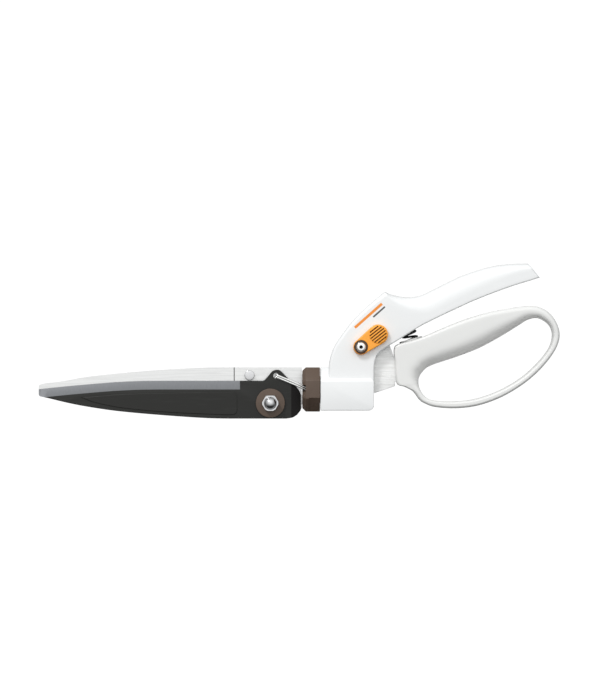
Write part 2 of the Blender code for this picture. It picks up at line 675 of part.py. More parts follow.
def return_spring():
    centre, axis = spring_line()
    side = Vector((axis.z, 0, -axis.x))
    reach = SPRING_HALF - SPRING_WIRE
    steps = round(SPRING_TURNS * 12)
    points = []
    for i in range(steps + 1):
        a = 2 * math.pi * SPRING_TURNS * i / steps + SPRING_PHASE
        ring = (side * math.cos(a) + Vector((0, math.sin(a), 0))) * SPRING_RADIUS
        points.append(centre + ring + axis * reach * (2 * i / steps - 1))
    return wire("return_spring", points, SPRING_WIRE)


# ---------------------------------------------------------------- lock

def lock_lever():
    back = -ARCH_HALF - GAP
    line = Vector(PAD_CENTRE) - Vector(LOCK_PIVOT)
    toward = math.degrees(math.atan2(line.y, line.x))
    lean = math.degrees(math.asin((PAD_RADIUS - LEVER_HUB) / line.length))
    outline = arc(PAD_CENTRE, PAD_RADIUS, toward + 90 + lean, toward - 90 - lean, 16)
    outline += arc(LOCK_PIVOT, LEVER_HUB, toward - 90 - lean, toward - 270 + lean, 12)
    lever = slab("lock_lever", [outline], back - LEVER_THICK, back, 0.5)
    recess = across("lever_recess", LOCK_WASHER + GAP, LOCK_PIVOT, back - 9, back - LEVER_THICK + LOCK_RECESS)
    hole = across("lever_hole", LOCK_SCREW + GAP, LOCK_PIVOT, back - 9, back + 3)
    return cut(lever, recess, hole)


def lock_fasteners():
    seat = -ARCH_HALF - GAP - LEVER_THICK + LOCK_RECESS - 0.15
    ring = washer("lock_washer", LOCK_WASHER, LOCK_SCREW + GAP, LOCK_PIVOT,
                  seat - LOCK_WASHER_THICK, seat)
    foot = seat - LOCK_WASHER_THICK - 0.15
    head = across("lock_screw", LOCK_SCREW_HEAD, LOCK_PIVOT, foot - 1.5, foot)
    shank = across("lock_screw_shank", LOCK_SCREW, LOCK_PIVOT, foot - 0.5, -ARM_HALF, 16)
    socket = hexagon("lock_screw_socket", 2.4, LOCK_PIVOT, foot - 3, foot - 0.5)
    return [ring, cut(join(head, shank), socket)]


def lock_cam():
    post = across("lock_cam", LOCK_POST, LOCK_PIVOT, -ARCH_HALF, -ARM_HALF - GAP - 0.2)
    cam = across("cam_end", LOCK_CAM, LOCK_PIVOT, -ARM_HALF - 1, ARM_HALF)
    flat = block("cam_flat", (LOCK_PIVOT[0] - 9, -ARM_HALF, LOCK_PIVOT[1] - 9),
                 (LOCK_PIVOT[0] - 1.0, 20, LOCK_PIVOT[1] + 9))
    bore = across("cam_bore", LOCK_SCREW + 0.15, LOCK_PIVOT, -ARCH_HALF - 1, -ARM_HALF + 0.5, 16)
    return cut(join(post, cam), flat, bore)


# ---------------------------------------------------------------- assembly

def empty_at(name, place, parent):
    made = bpy.data.objects.new(name, None)
    bpy.context.scene.collection.objects.link(made)
    made.parent = parent
    made.location = Vector((place[0], 0, place[1])) * MM - world_place(parent)
    return made


def world_place(parent):
    total = Vector()
    while parent:
        total += parent.location
        parent = parent.parent
    return total


def fit(obj, parent, finish):
    """Hangs a finished piece on its joint's empty, with its material and its shading."""
    obj.data.transform(Matrix.Translation(-world_place(parent)))
    obj.parent = parent
    obj.data.materials.clear()
    obj.data.materials.append(finish)
    obj.data.shade_smooth()
    obj.data.set_sharp_from_angle(angle=math.radians(35))
    for holder in obj.users_collection:
        holder.objects.unlink(obj)
    PARTS.objects.link(obj)


def build():
    white = new_material("white_plastic", (0.84, 0.86, 0.87), 0.35)
    grey = new_material("pale_grey_plastic", (0.76, 0.76, 0.75), 0.4)
    brown = new_material("brown_plastic", (0.115, 0.080, 0.065), 0.5)
    orange = new_material("orange_plastic", (0.93, 0.34, 0.04), 0.4)
    steel = new_material("brushed_steel", (0.78, 0.78, 0.77), 0.32, 1.0)
    coated = new_material("black_coating", (0.035, 0.034, 0.032), 0.45)
    plated = new_material("plated_steel", (0.70, 0.70, 0.70), 0.2, 1.0)
    spring = new_material("black_spring_steel", (0.03, 0.03, 0.03), 0.4, 0.6)

    whole = empty_at("grass_shears", (0, 0), None)
    head = empty_at("head_swivel_axis", (0, 0), whole)
    blade = empty_at("blade_axis", BLADE_PIVOT, head)
    slide = empty_at("rod_axis", (BALL_X, 0), head)
    handle = empty_at("lower_handle_axis", HANDLE_PIVOT, whole)
    lock = empty_at("lock_lever_axis", LOCK_PIVOT, whole)

    fit(housing_front(), whole, white)
    fit(housing_back(), whole, white)
    fit(handle_pivot_pin(), whole, plated)
    fit(return_spring(), whole, spring)
    for number in range(len(SCREWS)):
        fit(housing_screw(number), whole, plated)
    fit(fixed_blade(), head, steel)
    fit(swivel_collar(), head, brown)
    fit(wave_washer(), head, plated)
    fit(stop_pin(), head, plated)
    for piece, finish in zip(pivot_stack(), (brown, plated, plated, plated)):
        fit(piece, head, finish)
    fit(moving_blade(), blade, coated)
    for piece in (drive_rod(), rod_pin(), link_wire()):
        fit(piece, slide, plated)
    fit(drive_arm(), handle, grey)
    fit(lower_grip(), handle, grey)
    fit(lock_lever(), lock, orange)
    for piece, finish in zip(lock_fasteners(), (brown, plated)):
        fit(piece, lock, finish)
    fit(lock_cam(), lock, plated)
    centre_on_origin(whole)


def centre_on_origin(whole):
    bpy.context.view_layer.update()
    corners = [obj.matrix_world @ Vector(c) for obj in PARTS.objects for c in obj.bound_box]
    low = Vector(min(c[i] for c in corners) for i in range(3))
    high = Vector(max(c[i] for c in corners) for i in range(3))
    whole.location = -(low + high) / 2
    bpy.context.view_layer.update()


clear_scene()
PARTS = new_collection("grass_shears")
CUTTERS = new_collection("cutters")
build()
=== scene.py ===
"""Looks for the grass shears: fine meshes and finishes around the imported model.

Places are given in millimetres from the swivel axis at the housing's front face, as (x, y, z):
x runs from the blades to the handles, z is up, and the side with the lock lever faces -y.
"""

import json
import math

import bmesh
import bpy
from mathutils import Matrix, Vector


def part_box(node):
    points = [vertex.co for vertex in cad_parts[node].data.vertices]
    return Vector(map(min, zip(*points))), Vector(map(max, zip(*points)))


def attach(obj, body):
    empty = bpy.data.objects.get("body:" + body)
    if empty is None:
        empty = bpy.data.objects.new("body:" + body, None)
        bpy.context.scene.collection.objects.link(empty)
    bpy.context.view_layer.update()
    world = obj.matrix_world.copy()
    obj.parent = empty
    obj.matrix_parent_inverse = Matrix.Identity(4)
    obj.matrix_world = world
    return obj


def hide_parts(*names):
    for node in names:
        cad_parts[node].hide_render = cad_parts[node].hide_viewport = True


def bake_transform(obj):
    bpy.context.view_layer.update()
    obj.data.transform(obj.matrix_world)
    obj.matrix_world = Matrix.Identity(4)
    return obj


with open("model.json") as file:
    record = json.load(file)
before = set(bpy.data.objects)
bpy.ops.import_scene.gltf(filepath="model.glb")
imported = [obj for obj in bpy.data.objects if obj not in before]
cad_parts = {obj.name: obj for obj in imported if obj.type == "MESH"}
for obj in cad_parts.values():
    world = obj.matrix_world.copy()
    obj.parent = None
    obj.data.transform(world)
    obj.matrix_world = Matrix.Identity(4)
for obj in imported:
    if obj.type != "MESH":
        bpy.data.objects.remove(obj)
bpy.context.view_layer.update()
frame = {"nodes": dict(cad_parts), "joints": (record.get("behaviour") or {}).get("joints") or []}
bpy.ops.object.select_all(action="DESELECT")

MM = 0.001
JOINTS = {joint["name"]: joint for joint in frame["joints"]}
DATUM = Vector(JOINTS["head_swivel"]["pos_m"])


def from_joint(name):
    """A joint's place, as (x, z) in millimetres from the datum."""
    place = (Vector(JOINTS[name]["pos_m"]) - DATUM) / MM
    return place.x, place.z


def span(node, axis):
    """The lowest and highest place of a node along an axis, in millimetres from the datum."""
    low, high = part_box(node)
    return (low[axis] - DATUM[axis]) / MM, (high[axis] - DATUM[axis]) / MM


BLADE_PIVOT = from_joint("blade")
HANDLE_PIVOT = from_joint("lower_handle")
LOCK_PIVOT = from_joint("lock_lever")


# ---------------------------------------------------------------- modelling by operator

def at(x, y, z):
    return DATUM + Vector((x, y, z)) * MM


def only(obj):
    """Makes this the one selected, active object."""
    if bpy.context.mode != "OBJECT":
        bpy.ops.object.mode_set(mode="OBJECT")
    bpy.ops.object.select_all(action="DESELECT")
    obj.select_set(True)
    bpy.context.view_layer.objects.active = obj
    return obj


def settle(obj, name):
    """Works the object's place into its mesh and names it."""
    only(obj)
    bpy.ops.object.transform_apply(location=True, rotation=True, scale=True)
    obj.name = obj.data.name = name
    return obj


def choose(obj, kind, test):
    """In edit mode, selects the edges or faces that pass the test."""
    only(obj)
    bpy.ops.object.mode_set(mode="EDIT")
    bpy.ops.mesh.select_mode(type=kind)
    bpy.ops.mesh.select_all(action="DESELECT")
    work = bmesh.from_edit_mesh(obj.data)
    for item in work.edges if kind == "EDGE" else work.faces:
        if test(item):
            item.select_set(True)
    bmesh.update_edit_mesh(obj.data)


def done():
    bpy.ops.object.mode_set(mode="OBJECT")


def sharp(angle=35):
    return lambda edge: len(edge.link_faces) == 2 and edge.calc_face_angle() > math.radians(angle)


def soften(obj, width, segments=3, test=None):
    """Rounds the chosen edges, or all the sharp ones."""
    choose(obj, "EDGE", test or sharp())
    bpy.ops.mesh.bevel(offset=width * MM, segments=segments, profile=0.5, clamp_overlap=True)
    done()
    return obj


def edge_at(y, angle=35):
    """A test for sharp edges that lie in a plane of constant y."""
    level = DATUM.y + y * MM
    keen = sharp(angle)
    return lambda edge: keen(edge) and all(abs(v.co.y - level) < 2e-5 for v in edge.verts)


def disc(name, radius, place, low, high, sides=64, turn=0.0):
    """A cylinder along y at an (x, z) place."""
    bpy.ops.mesh.primitive_cylinder_add(
        vertices=sides, radius=radius * MM, depth=(high - low) * MM,
        location=at(place[0], (low + high) / 2, place[1]), rotation=(math.pi / 2, turn, 0))
    return settle(bpy.context.object, name)


def bar(name, radius, start, end, sides=48):
    """A cylinder along x between two places."""
    bpy.ops.mesh.primitive_cylinder_add(
        vertices=sides, radius=radius * MM, depth=(end - start) * MM,
        location=at((start + end) / 2, 0, 0), rotation=(0, math.pi / 2, 0))
    return settle(bpy.context.object, name)


def ball(name, radius, x, y, z, rings=24):
    bpy.ops.mesh.primitive_uv_sphere_add(
        segments=2 * rings, ring_count=rings, radius=radius * MM, location=at(x, y, z),
        rotation=(math.pi / 2, 0, 0))
    return settle(bpy.context.object, name)


def block(name, low, high):
    bpy.ops.mesh.primitive_cube_add(size=1, location=at(*((a + b) / 2 for a, b in zip(low, high))))
    cube = bpy.context.object
    cube.scale = [(b - a) * MM for a, b in zip(low, high)]
    return settle(cube, name)


def plate(name, outlines, low, high):
    """A plate between two levels of y from (x, z) outlines; those after the first are holes."""
    curve = bpy.data.curves.new(name, "CURVE")
    curve.dimensions = "2D"
    curve.fill_mode = "BOTH"
    curve.extrude = (high - low) / 2 * MM
    for outline in outlines:
        spline = curve.splines.new("POLY")
        spline.points.add(len(outline) - 1)
        for point, (x, z) in zip(spline.points, outline):
            point.co = (x * MM, z * MM, 0, 1)
        spline.use_cyclic_u = True
    obj = bpy.data.objects.new(name, curve)
    bpy.context.scene.collection.objects.link(obj)
    obj.location = at(0, (low + high) / 2, 0)
    obj.rotation_euler.x = math.pi / 2
    only(obj)
    bpy.ops.object.convert(target="MESH")
    settle(obj, name)
    choose(obj, "FACE", lambda face: True)
    bpy.ops.mesh.remove_doubles(threshold=1e-6)
    bpy.ops.mesh.dissolve_limited(angle_limit=math.radians(0.1))
    bpy.ops.mesh.normals_make_consistent(inside=False)
    done()
    return obj


def loft(name, rings, closed=False):
    """A skin over rings of places, each extruded from the last. A closed one has no ends."""
    count = len(rings[0])
    bpy.ops.mesh.primitive_circle_add(vertices=count, radius=0.01, location=at(0, 0, 0))
    obj = settle(bpy.context.object, name)
    number = obj.data.attributes.new("place_in_ring", "INT", "POINT")
    number.data.foreach_set("value", range(count))
    bpy.ops.object.mode_set(mode="EDIT")
    bpy.ops.mesh.select_mode(type="EDGE")
    bpy.ops.mesh.select_all(action="SELECT")
    for index, ring in enumerate(rings):
        if index:
            bpy.ops.mesh.extrude_region()
        work = bmesh.from_edit_mesh(obj.data)
        layer = work.verts.layers.int["place_in_ring"]
        for vert in work.verts:
            if vert.select:
                vert.co = at(*ring[vert[layer]])
        bmesh.update_edit_mesh(obj.data)
    choose(obj, "EDGE", lambda edge: len(edge.link_faces) == 1)
    if closed:
        bpy.ops.mesh.bridge_edge_loops()
    else:
        bpy.ops.mesh.edge_face_add()
    choose(obj, "FACE", lambda face: True)
    bpy.ops.mesh.normals_make_consistent(inside=False)
    done()
    obj.data.attributes.remove(obj.data.attributes["place_in_ring"])
    return obj


def wire(name, points, radius, smoothness=4):
    curve = bpy.data.curves.new(name, "CURVE")
    curve.dimensions = "3D"
    curve.bevel_depth = radius * MM
    curve.bevel_resolution = smoothness
    curve.use_fill_caps = True
    spline = curve.splines.new("POLY")
    spline.points.add(len(points) - 1)
    for point, place in zip(spline.points, points):
        point.co = (*at(*place), 1)
    obj = bpy.data.objects.new(name, curve)
    bpy.context.scene.collection.objects.link(obj)
    only(obj)
    bpy.ops.object.convert(target="MESH")
    choose(obj, "FACE", lambda face: True)
    bpy.ops.mesh.remove_doubles(threshold=1e-6)
    done()
    return obj


def boolean(obj, other, how):
    """Applies a Boolean and removes the other object."""
    step = obj.modifiers.new(how, "BOOLEAN")
    step.operation = how
    step.object = other
    step.solver = "EXACT"
    only(obj)
    bpy.ops.object.modifier_apply(modifier=step.name)
    bpy.data.objects.remove(other)
    return obj


def cut(obj, *others):
    for other in others:
        boolean(obj, other, "DIFFERENCE")
    return obj


def join(obj, *others):
    for other in others:
        boolean(obj, other, "UNION")
    return obj


def turned(obj, place, angle):
    """Turns a piece about the line along y through an (x, z) place, from +x towards -z."""
    centre = Matrix.Translation(at(place[0], 0, place[1]))
    obj.data.transform(centre @ Matrix.Rotation(math.radians(angle), 4, "Y") @ centre.inverted())
    return obj


def rolled(obj, angle):
    """Turns a piece about the swivel axis."""
    centre = Matrix.Translation(at(0, 0, 0))
    obj.data.transform(centre @ Matrix.Rotation(math.radians(angle), 4, "X") @ centre.inverted())
    return obj


def finish(obj, body, slot, *materials, replaces=(), angle=35):
    """Shades a piece, gives it its materials and hangs it on its body."""
    only(obj)
    bpy.ops.object.shade_smooth_by_angle(angle=math.radians(angle))
    while len(obj.data.materials) < len(materials):
        obj.data.materials.append(None)
    for index, material in enumerate(materials):
        obj.data.materials[index] = material
    if body:
        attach(obj, body)
    if replaces:
        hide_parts(*replaces)
    return obj


# ---------------------------------------------------------------- curves and outlines

def arc(centre, radius, start, end, steps):
    """(x, z) places on a circle from the start angle to the end angle, in degrees."""
    angles = [math.radians(start + (end - start) * i / steps) for i in range(steps + 1)]
    return [(centre[0] + radius * math.cos(a), centre[1] + radius * math.sin(a)) for a in angles]


def smooth(points, steps=8):
    """A curve through a few places (Catmull-Rom)."""
    ends = [points[0], *points, points[-1]]
    made = []
    for a, b, c, d in zip(ends, ends[1:], ends[2:], ends[3:]):
        for i in range(steps):
            t = i / steps
            made.append(tuple(
                0.5 * (2 * q + (r - p) * t + (2 * p - 5 * q + 4 * r - s) * t * t
                       + (3 * q - p - 3 * r + s) * t ** 3)
                for p, q, r, s in zip(a, b, c, d)))
    return made + [points[-1]]


def smooth_loop(points, steps):
    """A closed curve through a few places."""
    wrapped = points[-2:] + points + points[:3]
    made = smooth(wrapped, steps)
    return made[2 * steps:(2 + len(points)) * steps]


CORNER_STEPS = 7
FLAT_STEPS = 3


def section(outer, inner, half, outer_round, inner_round):
    """A ring across a handle, from the outer edge to the inner one. Each edge is rounded by a
    quarter ellipse: (how far it reaches along the section, how far it comes in from the side)."""
    outer, inner = Vector(outer), Vector(inner)
    length = (inner - outer).length
    fit = min(1.0, 0.9 * length / (outer_round[0] + inner_round[0]))
    outer_round = (outer_round[0] * fit, outer_round[1])
    inner_round = (inner_round[0] * fit, inner_round[1])
    quarter = [math.pi / 2 * i / CORNER_STEPS for i in range(CORNER_STEPS + 1)]
    side = [(outer_round[0] * (1 - math.sin(a)), half - outer_round[1] * (1 - math.cos(a)))
            for a in reversed(quarter)]
    rear = [(length - inner_round[0] * (1 - math.sin(a)),
             half - inner_round[1] * (1 - math.cos(a))) for a in quarter]
    middle = [(side[-1][0] + (rear[0][0] - side[-1][0]) * i / (FLAT_STEPS + 1), half)
              for i in range(1, FLAT_STEPS + 1)]
    right = side + middle + rear
    left = [(u, -v) for u, v in reversed(right)]
    along = (inner - outer).normalized()
    return [(outer.x + along.x * u, v, outer.y + along.y * u) for u, v in right + left]


# ---------------------------------------------------------------- finishes

class Value:
    """A number in a material, so that maths on it is written as Python."""

    def __init__(self, finish_of, socket):
        self.finish = finish_of
        self.socket = socket

    def _math(self, operation, *values):
        node = self.finish.node("ShaderNodeMath", {"operation": operation}, *values)
        return Value(self.finish, node.outputs[0])

    def __add__(self, other):
        return self._math("ADD", self, other)

    def __sub__(self, other):
        return self._math("SUBTRACT", self, other)

    def __mul__(self, other):
        return self._math("MULTIPLY", self, other)

    def __rsub__(self, other):
        return self._math("SUBTRACT", other, self)

    __radd__ = __add__
    __rmul__ = __mul__

    def size(self):
        return self._math("ABSOLUTE", self)

    def at_least(self, limit):
        return self._math("MAXIMUM", self, limit)

    def below(self, limit, blur):
        """1 where the value is under the limit and 0 over it, with a soft edge."""
        node = self.finish.node("ShaderNodeMapRange", {"clamp": True}, self, limit - blur,
                                limit + blur, 1.0, 0.0)
        return Value(self.finish, node.outputs[0])

    def ramp(self, low, high):
        """0 at low and 1 at high, kept between them."""
        node = self.finish.node("ShaderNodeMapRange", {"clamp": True}, self, low, high, 0.0, 1.0)
        return Value(self.finish, node.outputs[0])


class Nodes:
    """A node tree, and the one way that nodes are added to it."""

    def __init__(self, owner):
        owner.use_nodes = True
        self.tree = owner.node_tree

    def node(self, kind, settings=None, *inputs, **named):
        made = self.tree.nodes.new(kind)
        for key, value in (settings or {}).items():
            setattr(made, key, value)
        for key, value in [*enumerate(inputs), *named.items()]:
            self.feed(made.inputs[key], value)
        return made

    def feed(self, socket, value):
        if isinstance(value, Value):
            value = value.socket
        if isinstance(value, bpy.types.NodeSocket):
            self.tree.links.new(value, socket)
        else:
            socket.default_value = value

    def parts_of(self, vector):
        """A vector's x, y and z as values."""
        split = self.node("ShaderNodeSeparateXYZ", None, vector)
        return [Value(self, out) for out in split.outputs]


class Finish(Nodes):
    """One material: a Principled shader and what varies over the surface."""

    def __init__(self, name, colour, roughness, metallic=0.0, coat=0.0, specular=0.5):
        self.material = bpy.data.materials.new(name)
        super().__init__(self.material)
        self.shader = self.tree.nodes["Principled BSDF"]
        self.set("Base Color", (*colour, 1))
        self.set("Roughness", roughness)
        self.set("Metallic", metallic)
        self.set("Specular IOR Level", specular)
        self.set("Coat Weight", coat)
        self.set("Coat Roughness", 0.12)

    def set(self, name, value):
        self.feed(self.shader.inputs[name], value)

    def places(self, scale=(1, 1, 1), turn=(0, 0, 0)):
        """Object coordinates in millimetres from the datum, stretched and turned."""
        source = self.node("ShaderNodeTexCoord").outputs["Object"]
        centred = self.node("ShaderNodeMapping", None, Vector=source, Location=-DATUM / MM,
                            Scale=(1 / MM,) * 3).outputs[0]
        return self.node("ShaderNodeMapping", None, Vector=centred, Scale=scale,
                         Rotation=turn).outputs[0]

    def axes(self, turn=(0, 0, 0)):
        return self.parts_of(self.places(turn=turn))

    def noise(self, scale, stretch=(1, 1, 1), detail=3.0):
        """Noise from 0 to 1, with about this many lumps to a millimetre."""
        made = self.node("ShaderNodeTexNoise", None, Vector=self.places(stretch),
                         Scale=scale, Detail=detail, Roughness=0.55)
        return Value(self, made.outputs[0])

    def blend(self, first, second, share):
        """A colour between two, by a share from 0 to 1."""
        made = self.node("ShaderNodeMix", {"data_type": "RGBA"})
        for socket, value in zip([s for s in made.inputs if s.type == "RGBA"], (first, second)):
            self.feed(socket, (*value, 1) if isinstance(value, tuple) else value)
        self.feed(made.inputs[0], share)
        return next(out for out in made.outputs if out.type == "RGBA")

    def bump(self, height, distance):
        """Relief: distance is how high a height of 1 stands, in millimetres."""
        made = self.node("ShaderNodeBump", None, Height=height, Distance=distance * MM,
                         Strength=1.0)
        self.set("Normal", made.outputs[0])


def shade(colour, share):
    return tuple(min(1.0, c * share) for c in colour)


def moulded_plastic(name, colour, roughness, coat=0.0, grain=0.012, specular=0.5):
    """Plastic with a fine moulded grain and slight unevenness in its colour and gloss."""
    made = Finish(name, colour, roughness, coat=coat, specular=specular)
    made.tint = made.blend(shade(colour, 0.97), shade(colour, 1.02), made.noise(0.05, detail=2.0))
    made.set("Base Color", made.tint)
    made.set("Roughness", made.noise(0.12) * 0.08 + (roughness - 0.04))
    made.bump(made.noise(1.6, detail=4.0), grain)
    return made


WHITE_COLOUR = (0.832, 0.84, 0.845)
PRINT_LEAN = math.radians(41.5)
PRINTED_BARS = [  # centre, half length, half height, colour
    ((31.6, 48.7), 12.0, 0.95, (0.82, 0.25, 0.01)),
    ((38.6, 51.2), 5.2, 0.6, (0.06, 0.06, 0.06)),
]


def housing_finish(name, printed):
    """White plastic. The front half carries a plain printed bar with a shorter one under it."""
    made = moulded_plastic(name, WHITE_COLOUR, 0.3, coat=0.25)
    if not printed:
        return made
    across, _, up = made.axes(turn=(0, PRINT_LEAN, 0))
    wobble = made.noise(2.2) * 0.1
    colour = made.tint
    for (x, z), half_long, half_high, ink in PRINTED_BARS:
        middle = x * math.cos(PRINT_LEAN) + z * math.sin(PRINT_LEAN)
        height = z * math.cos(PRINT_LEAN) - x * math.sin(PRINT_LEAN)
        mask = ((across - middle).size() + wobble).below(half_long, 0.1)
        mask = mask * ((up - height).size() + wobble).below(half_high, 0.1)
        colour = made.blend(colour, ink, mask)
    made.set("Base Color", colour)
    return made


def ribbed_finish():
    """The arm's face: pale plastic scored with fine uneven lines that run fore and aft."""
    made = Finish("arm_plastic", (0.84, 0.84, 0.835), 0.45)
    lines = made.noise(1.0, stretch=(0.06, 0.3, 2.0), detail=3.0)
    ridges = lines.ramp(0.36, 0.62)
    made.set("Base Color", made.blend((0.83, 0.83, 0.82), (0.96, 0.96, 0.955), ridges))
    made.set("Roughness", ridges * 0.12 + 0.4)
    made.bump(ridges, 0.12)
    return made


def brushed_finish():
    """Bright steel brushed along the blade, with faint lengthwise streaks."""
    made = Finish("brushed_steel", (0.82, 0.82, 0.82), 0.36, metallic=0.9)
    streaks = made.noise(1.0, stretch=(0.045, 1, 2.6), detail=5.0)
    broad = made.noise(0.6, stretch=(0.06, 1, 0.9), detail=2.0)
    share = streaks.ramp(0.25, 0.75) * 0.65 + broad * 0.35
    made.set("Base Color", made.blend((0.62, 0.62, 0.62), (0.88, 0.88, 0.875), share))
    made.set("Roughness", streaks * 0.22 + 0.27)
    made.bump(streaks, 0.01)
    return made


def ground_finish():
    """The ground face of the edge: grey steel with grinding marks across it."""
    made = Finish("ground_steel", (0.33, 0.33, 0.35), 0.42, metallic=0.75)
    marks = made.noise(1.0, stretch=(3.2, 1, 0.25), detail=4.0)
    made.set("Base Color", made.blend((0.135, 0.14, 0.15), (0.20, 0.205, 0.215), marks))
    made.set("Roughness", marks * 0.18 + 0.34)
    made.bump(marks, 0.008)
    return made


def coated_finish():
    """Baked black coating with a fine grain and a few paler rubbed streaks."""
    made = Finish("black_coating", (0.018, 0.018, 0.016), 0.42, specular=0.28)
    rubbed = made.noise(0.35, stretch=(0.12, 1, 1.6), detail=6.0).ramp(0.55, 0.85)
    made.set("Base Color", made.blend((0.015, 0.015, 0.0135), (0.027, 0.027, 0.025), rubbed))
    made.set("Roughness", rubbed * 0.12 + made.noise(0.8) * 0.1 + 0.34)
    made.bump(made.noise(2.2, detail=4.0), 0.02)
    return made


def painted_shade_finish():
    """Near-black matt steel, darker than the coating, used as painted shade: it darkens the moving
    blade's heel facet in place of that facet's darker reflection, the step where the fixed blade's
    hollow grind ends, and the lock screw's socket.
    """
    made = Finish("painted_shade_steel", (0.008, 0.007, 0.007), 0.55, specular=0.15)
    made.set("Roughness", made.noise(0.9) * 0.2 + 0.45)
    made.bump(made.noise(2.5), 0.015)
    return made


def plated_finish(name, colour=(0.72, 0.72, 0.73), roughness=0.16):
    """Bright plated steel with faint tool marks."""
    made = Finish(name, colour, roughness, metallic=1.0)
    made.set("Base Color", made.blend(shade(colour, 0.9), shade(colour, 1.08), made.noise(0.5)))
    made.set("Roughness", made.noise(0.9, detail=4.0) * 0.16 + (roughness - 0.06))
    made.bump(made.noise(3.0), 0.006)
    return made


def spring_finish():
    made = Finish("spring_steel", (0.022, 0.022, 0.022), 0.34, metallic=0.4)
    made.set("Roughness", made.noise(1.5) * 0.2 + 0.24)
    made.bump(made.noise(4.0), 0.01)
    return made


WHITE_PRINTED = housing_finish("white_plastic_printed", True).material
WHITE = housing_finish("white_plastic", False).material
PALE = moulded_plastic("grey_plastic", (0.775, 0.775, 0.765), 0.42, coat=0.05).material
RIBBED = ribbed_finish().material
BROWN = moulded_plastic(
    "brown_plastic", (0.102, 0.070, 0.052), 0.45, grain=0.02, specular=0.35).material
# A dark brown for the lock washer: its darkness paints the shade in the lever's counterbore round
# the screw head.
WASHER_SHADE_BROWN = moulded_plastic("dark_brown_plastic", (0.055, 0.030, 0.015), 0.45).material
ORANGE = moulded_plastic("orange_plastic", (0.96, 0.375, 0.028), 0.38, coat=0.1).material
# A dark orange that paints shade on the walls and floors of the lever's grooves.
ORANGE_PAINTED_SHADE = moulded_plastic(
    "groove_painted_shade_orange", (0.22, 0.06, 0.008), 0.6, specular=0.2).material
BRUSHED = brushed_finish().material
GROUND = ground_finish().material
COATED = coated_finish().material
# Painted shade: near-black for the heel facet, the hollow grind's step and the screw socket.
SHADE_BLACK = painted_shade_finish().material
PLATED = plated_finish("plated_steel", (0.62, 0.62, 0.63)).material
DRAWN = plated_finish("wire_steel", (0.86, 0.86, 0.85), 0.24).material
BLACK_SPRING = spring_finish().material


# ---------------------------------------------------------------- blades

MOVING_FRONT, MOVING_BACK = -2.25, -0.15
FIXED_FRONT, FIXED_BACK = 0.15, 2.25
TIP = span("moving_blade", 0)[0]
COLLAR_FRONT = span("swivel_collar", 0)[0]
EDGE_LAND = 0.4
GRIND_END = -53.2
HOLLOW_END = -56.8
HEEL_START = -19.3
HEEL_LEAN = 7.5
SHOULDER = 5.7
SPINE_TOP = 14.6
BOLT_HOLE = 3.3
STOP_PIN = (-46.9, 9.3)
EAR = (-29.4, 9.1)


def wedge(name, edge, width, face, land):
    """A long wedge that takes the face off along a cutting edge, width into the blade."""
    over = -0.5 if face < land else 0.5
    side = math.copysign(3.0, -width)
    ends = [(edge[0][0] - 3.0, edge[0][1]), *edge[1:]]
    rings = [[(x, face, z + width), (x, land, z), (x, land, z + side), (x, face + over, z + side),
              (x, face + over, z + width)] for x, z in ends]
    return slots(loft(name, rings), 3, 1)


def slots(obj, count, used=0):
    """Gives a piece its empty material slots, and its faces one of them."""
    for _ in range(count):
        obj.data.materials.append(None)
    for polygon in obj.data.polygons:
        polygon.material_index = used
    return obj


def moving_blade():
    edge = smooth([(TIP, 0.1), (-173.6, 1.5), (-156.6, 3.1), (-137, 4.7), (-120.5, 5.5),
                   (-106, SHOULDER)])
    back = [(GRIND_END, SHOULDER), (-38.2, SHOULDER), (-36.8, 6.3), (-33.2, 10.4)]
    back += arc((-28.9, 8.2), 4.8, 140, 45, 14)
    back += smooth([(-16.0, 1.6), (-13.9, -1.0), (-12.9, -4.0)], 4) + [(-12.9, -13.6)]
    back += smooth([(-15.2, -16.6), (-18.2, -18.5), (-22.5, -19.3)], 4)
    belly = smooth([(-60, -19.3), (-76.7, -18.9), (-106, -16.9), (-131.5, -14.6), (-148, -12.4),
                    (-164.3, -9.5), (-180, -5.8)])
    nose = arc((TIP + 1.9, -3.0), 1.8, 240, 180, 5)
    outline = edge + back + belly + nose
    blade = plate("moving_blade_fine", [outline], MOVING_FRONT, MOVING_BACK)
    slots(blade, 3)
    panel = plate("panel", [panel_outline()], MOVING_FRONT - 0.4, MOVING_FRONT + 0.6)
    soften(panel, 0.38, 2, edge_at(MOVING_FRONT - 0.4))
    join(blade, panel)
    cut(blade, wedge("grind", edge + [(GRIND_END, SHOULDER)], -5.7, MOVING_FRONT,
                     MOVING_BACK - EDGE_LAND))
    # The heel facet's faces take the third slot: near-black painted shade standing in for the
    # facet's darker reflection.
    heel = slots(block("heel", (0, -6, -30), (20, 0, 10)), 3, 2)
    lean = Matrix.Rotation(math.radians(HEEL_LEAN), 4, "Z")
    heel.data.transform(
        Matrix.Translation(at(HEEL_START, MOVING_FRONT, 0)) @ lean @ Matrix.Translation(-DATUM))
    bolt = disc("bolt_hole", BOLT_HOLE, BLADE_PIVOT, -5, 3)
    ear = disc("ear_hole", 1.85, EAR, -5, 3)
    cut(blade, heel, bolt, ear)
    soften(blade, 0.18, 2, edge_at(MOVING_BACK, 60))
    return finish(blade, "blade", "black_coating", COATED, GROUND, SHADE_BLACK,
                  replaces=["moving_blade"], angle=20)


def panel_outline():
    top = smooth([(-158.5, -5.3), (-144.6, -4.1), (-131.5, -3.1), (-106, -2.3), (-80, -1.9)])
    side = arc((-58.0, -4.9), 3.0, 90, 0, 5) + arc((-58.0, -13.8), 3.0, 0, -90, 5)
    return top + side + smooth([(-62, -16.9), (-100, -15.2), (-131, -12.3), (-150, -8.6)])


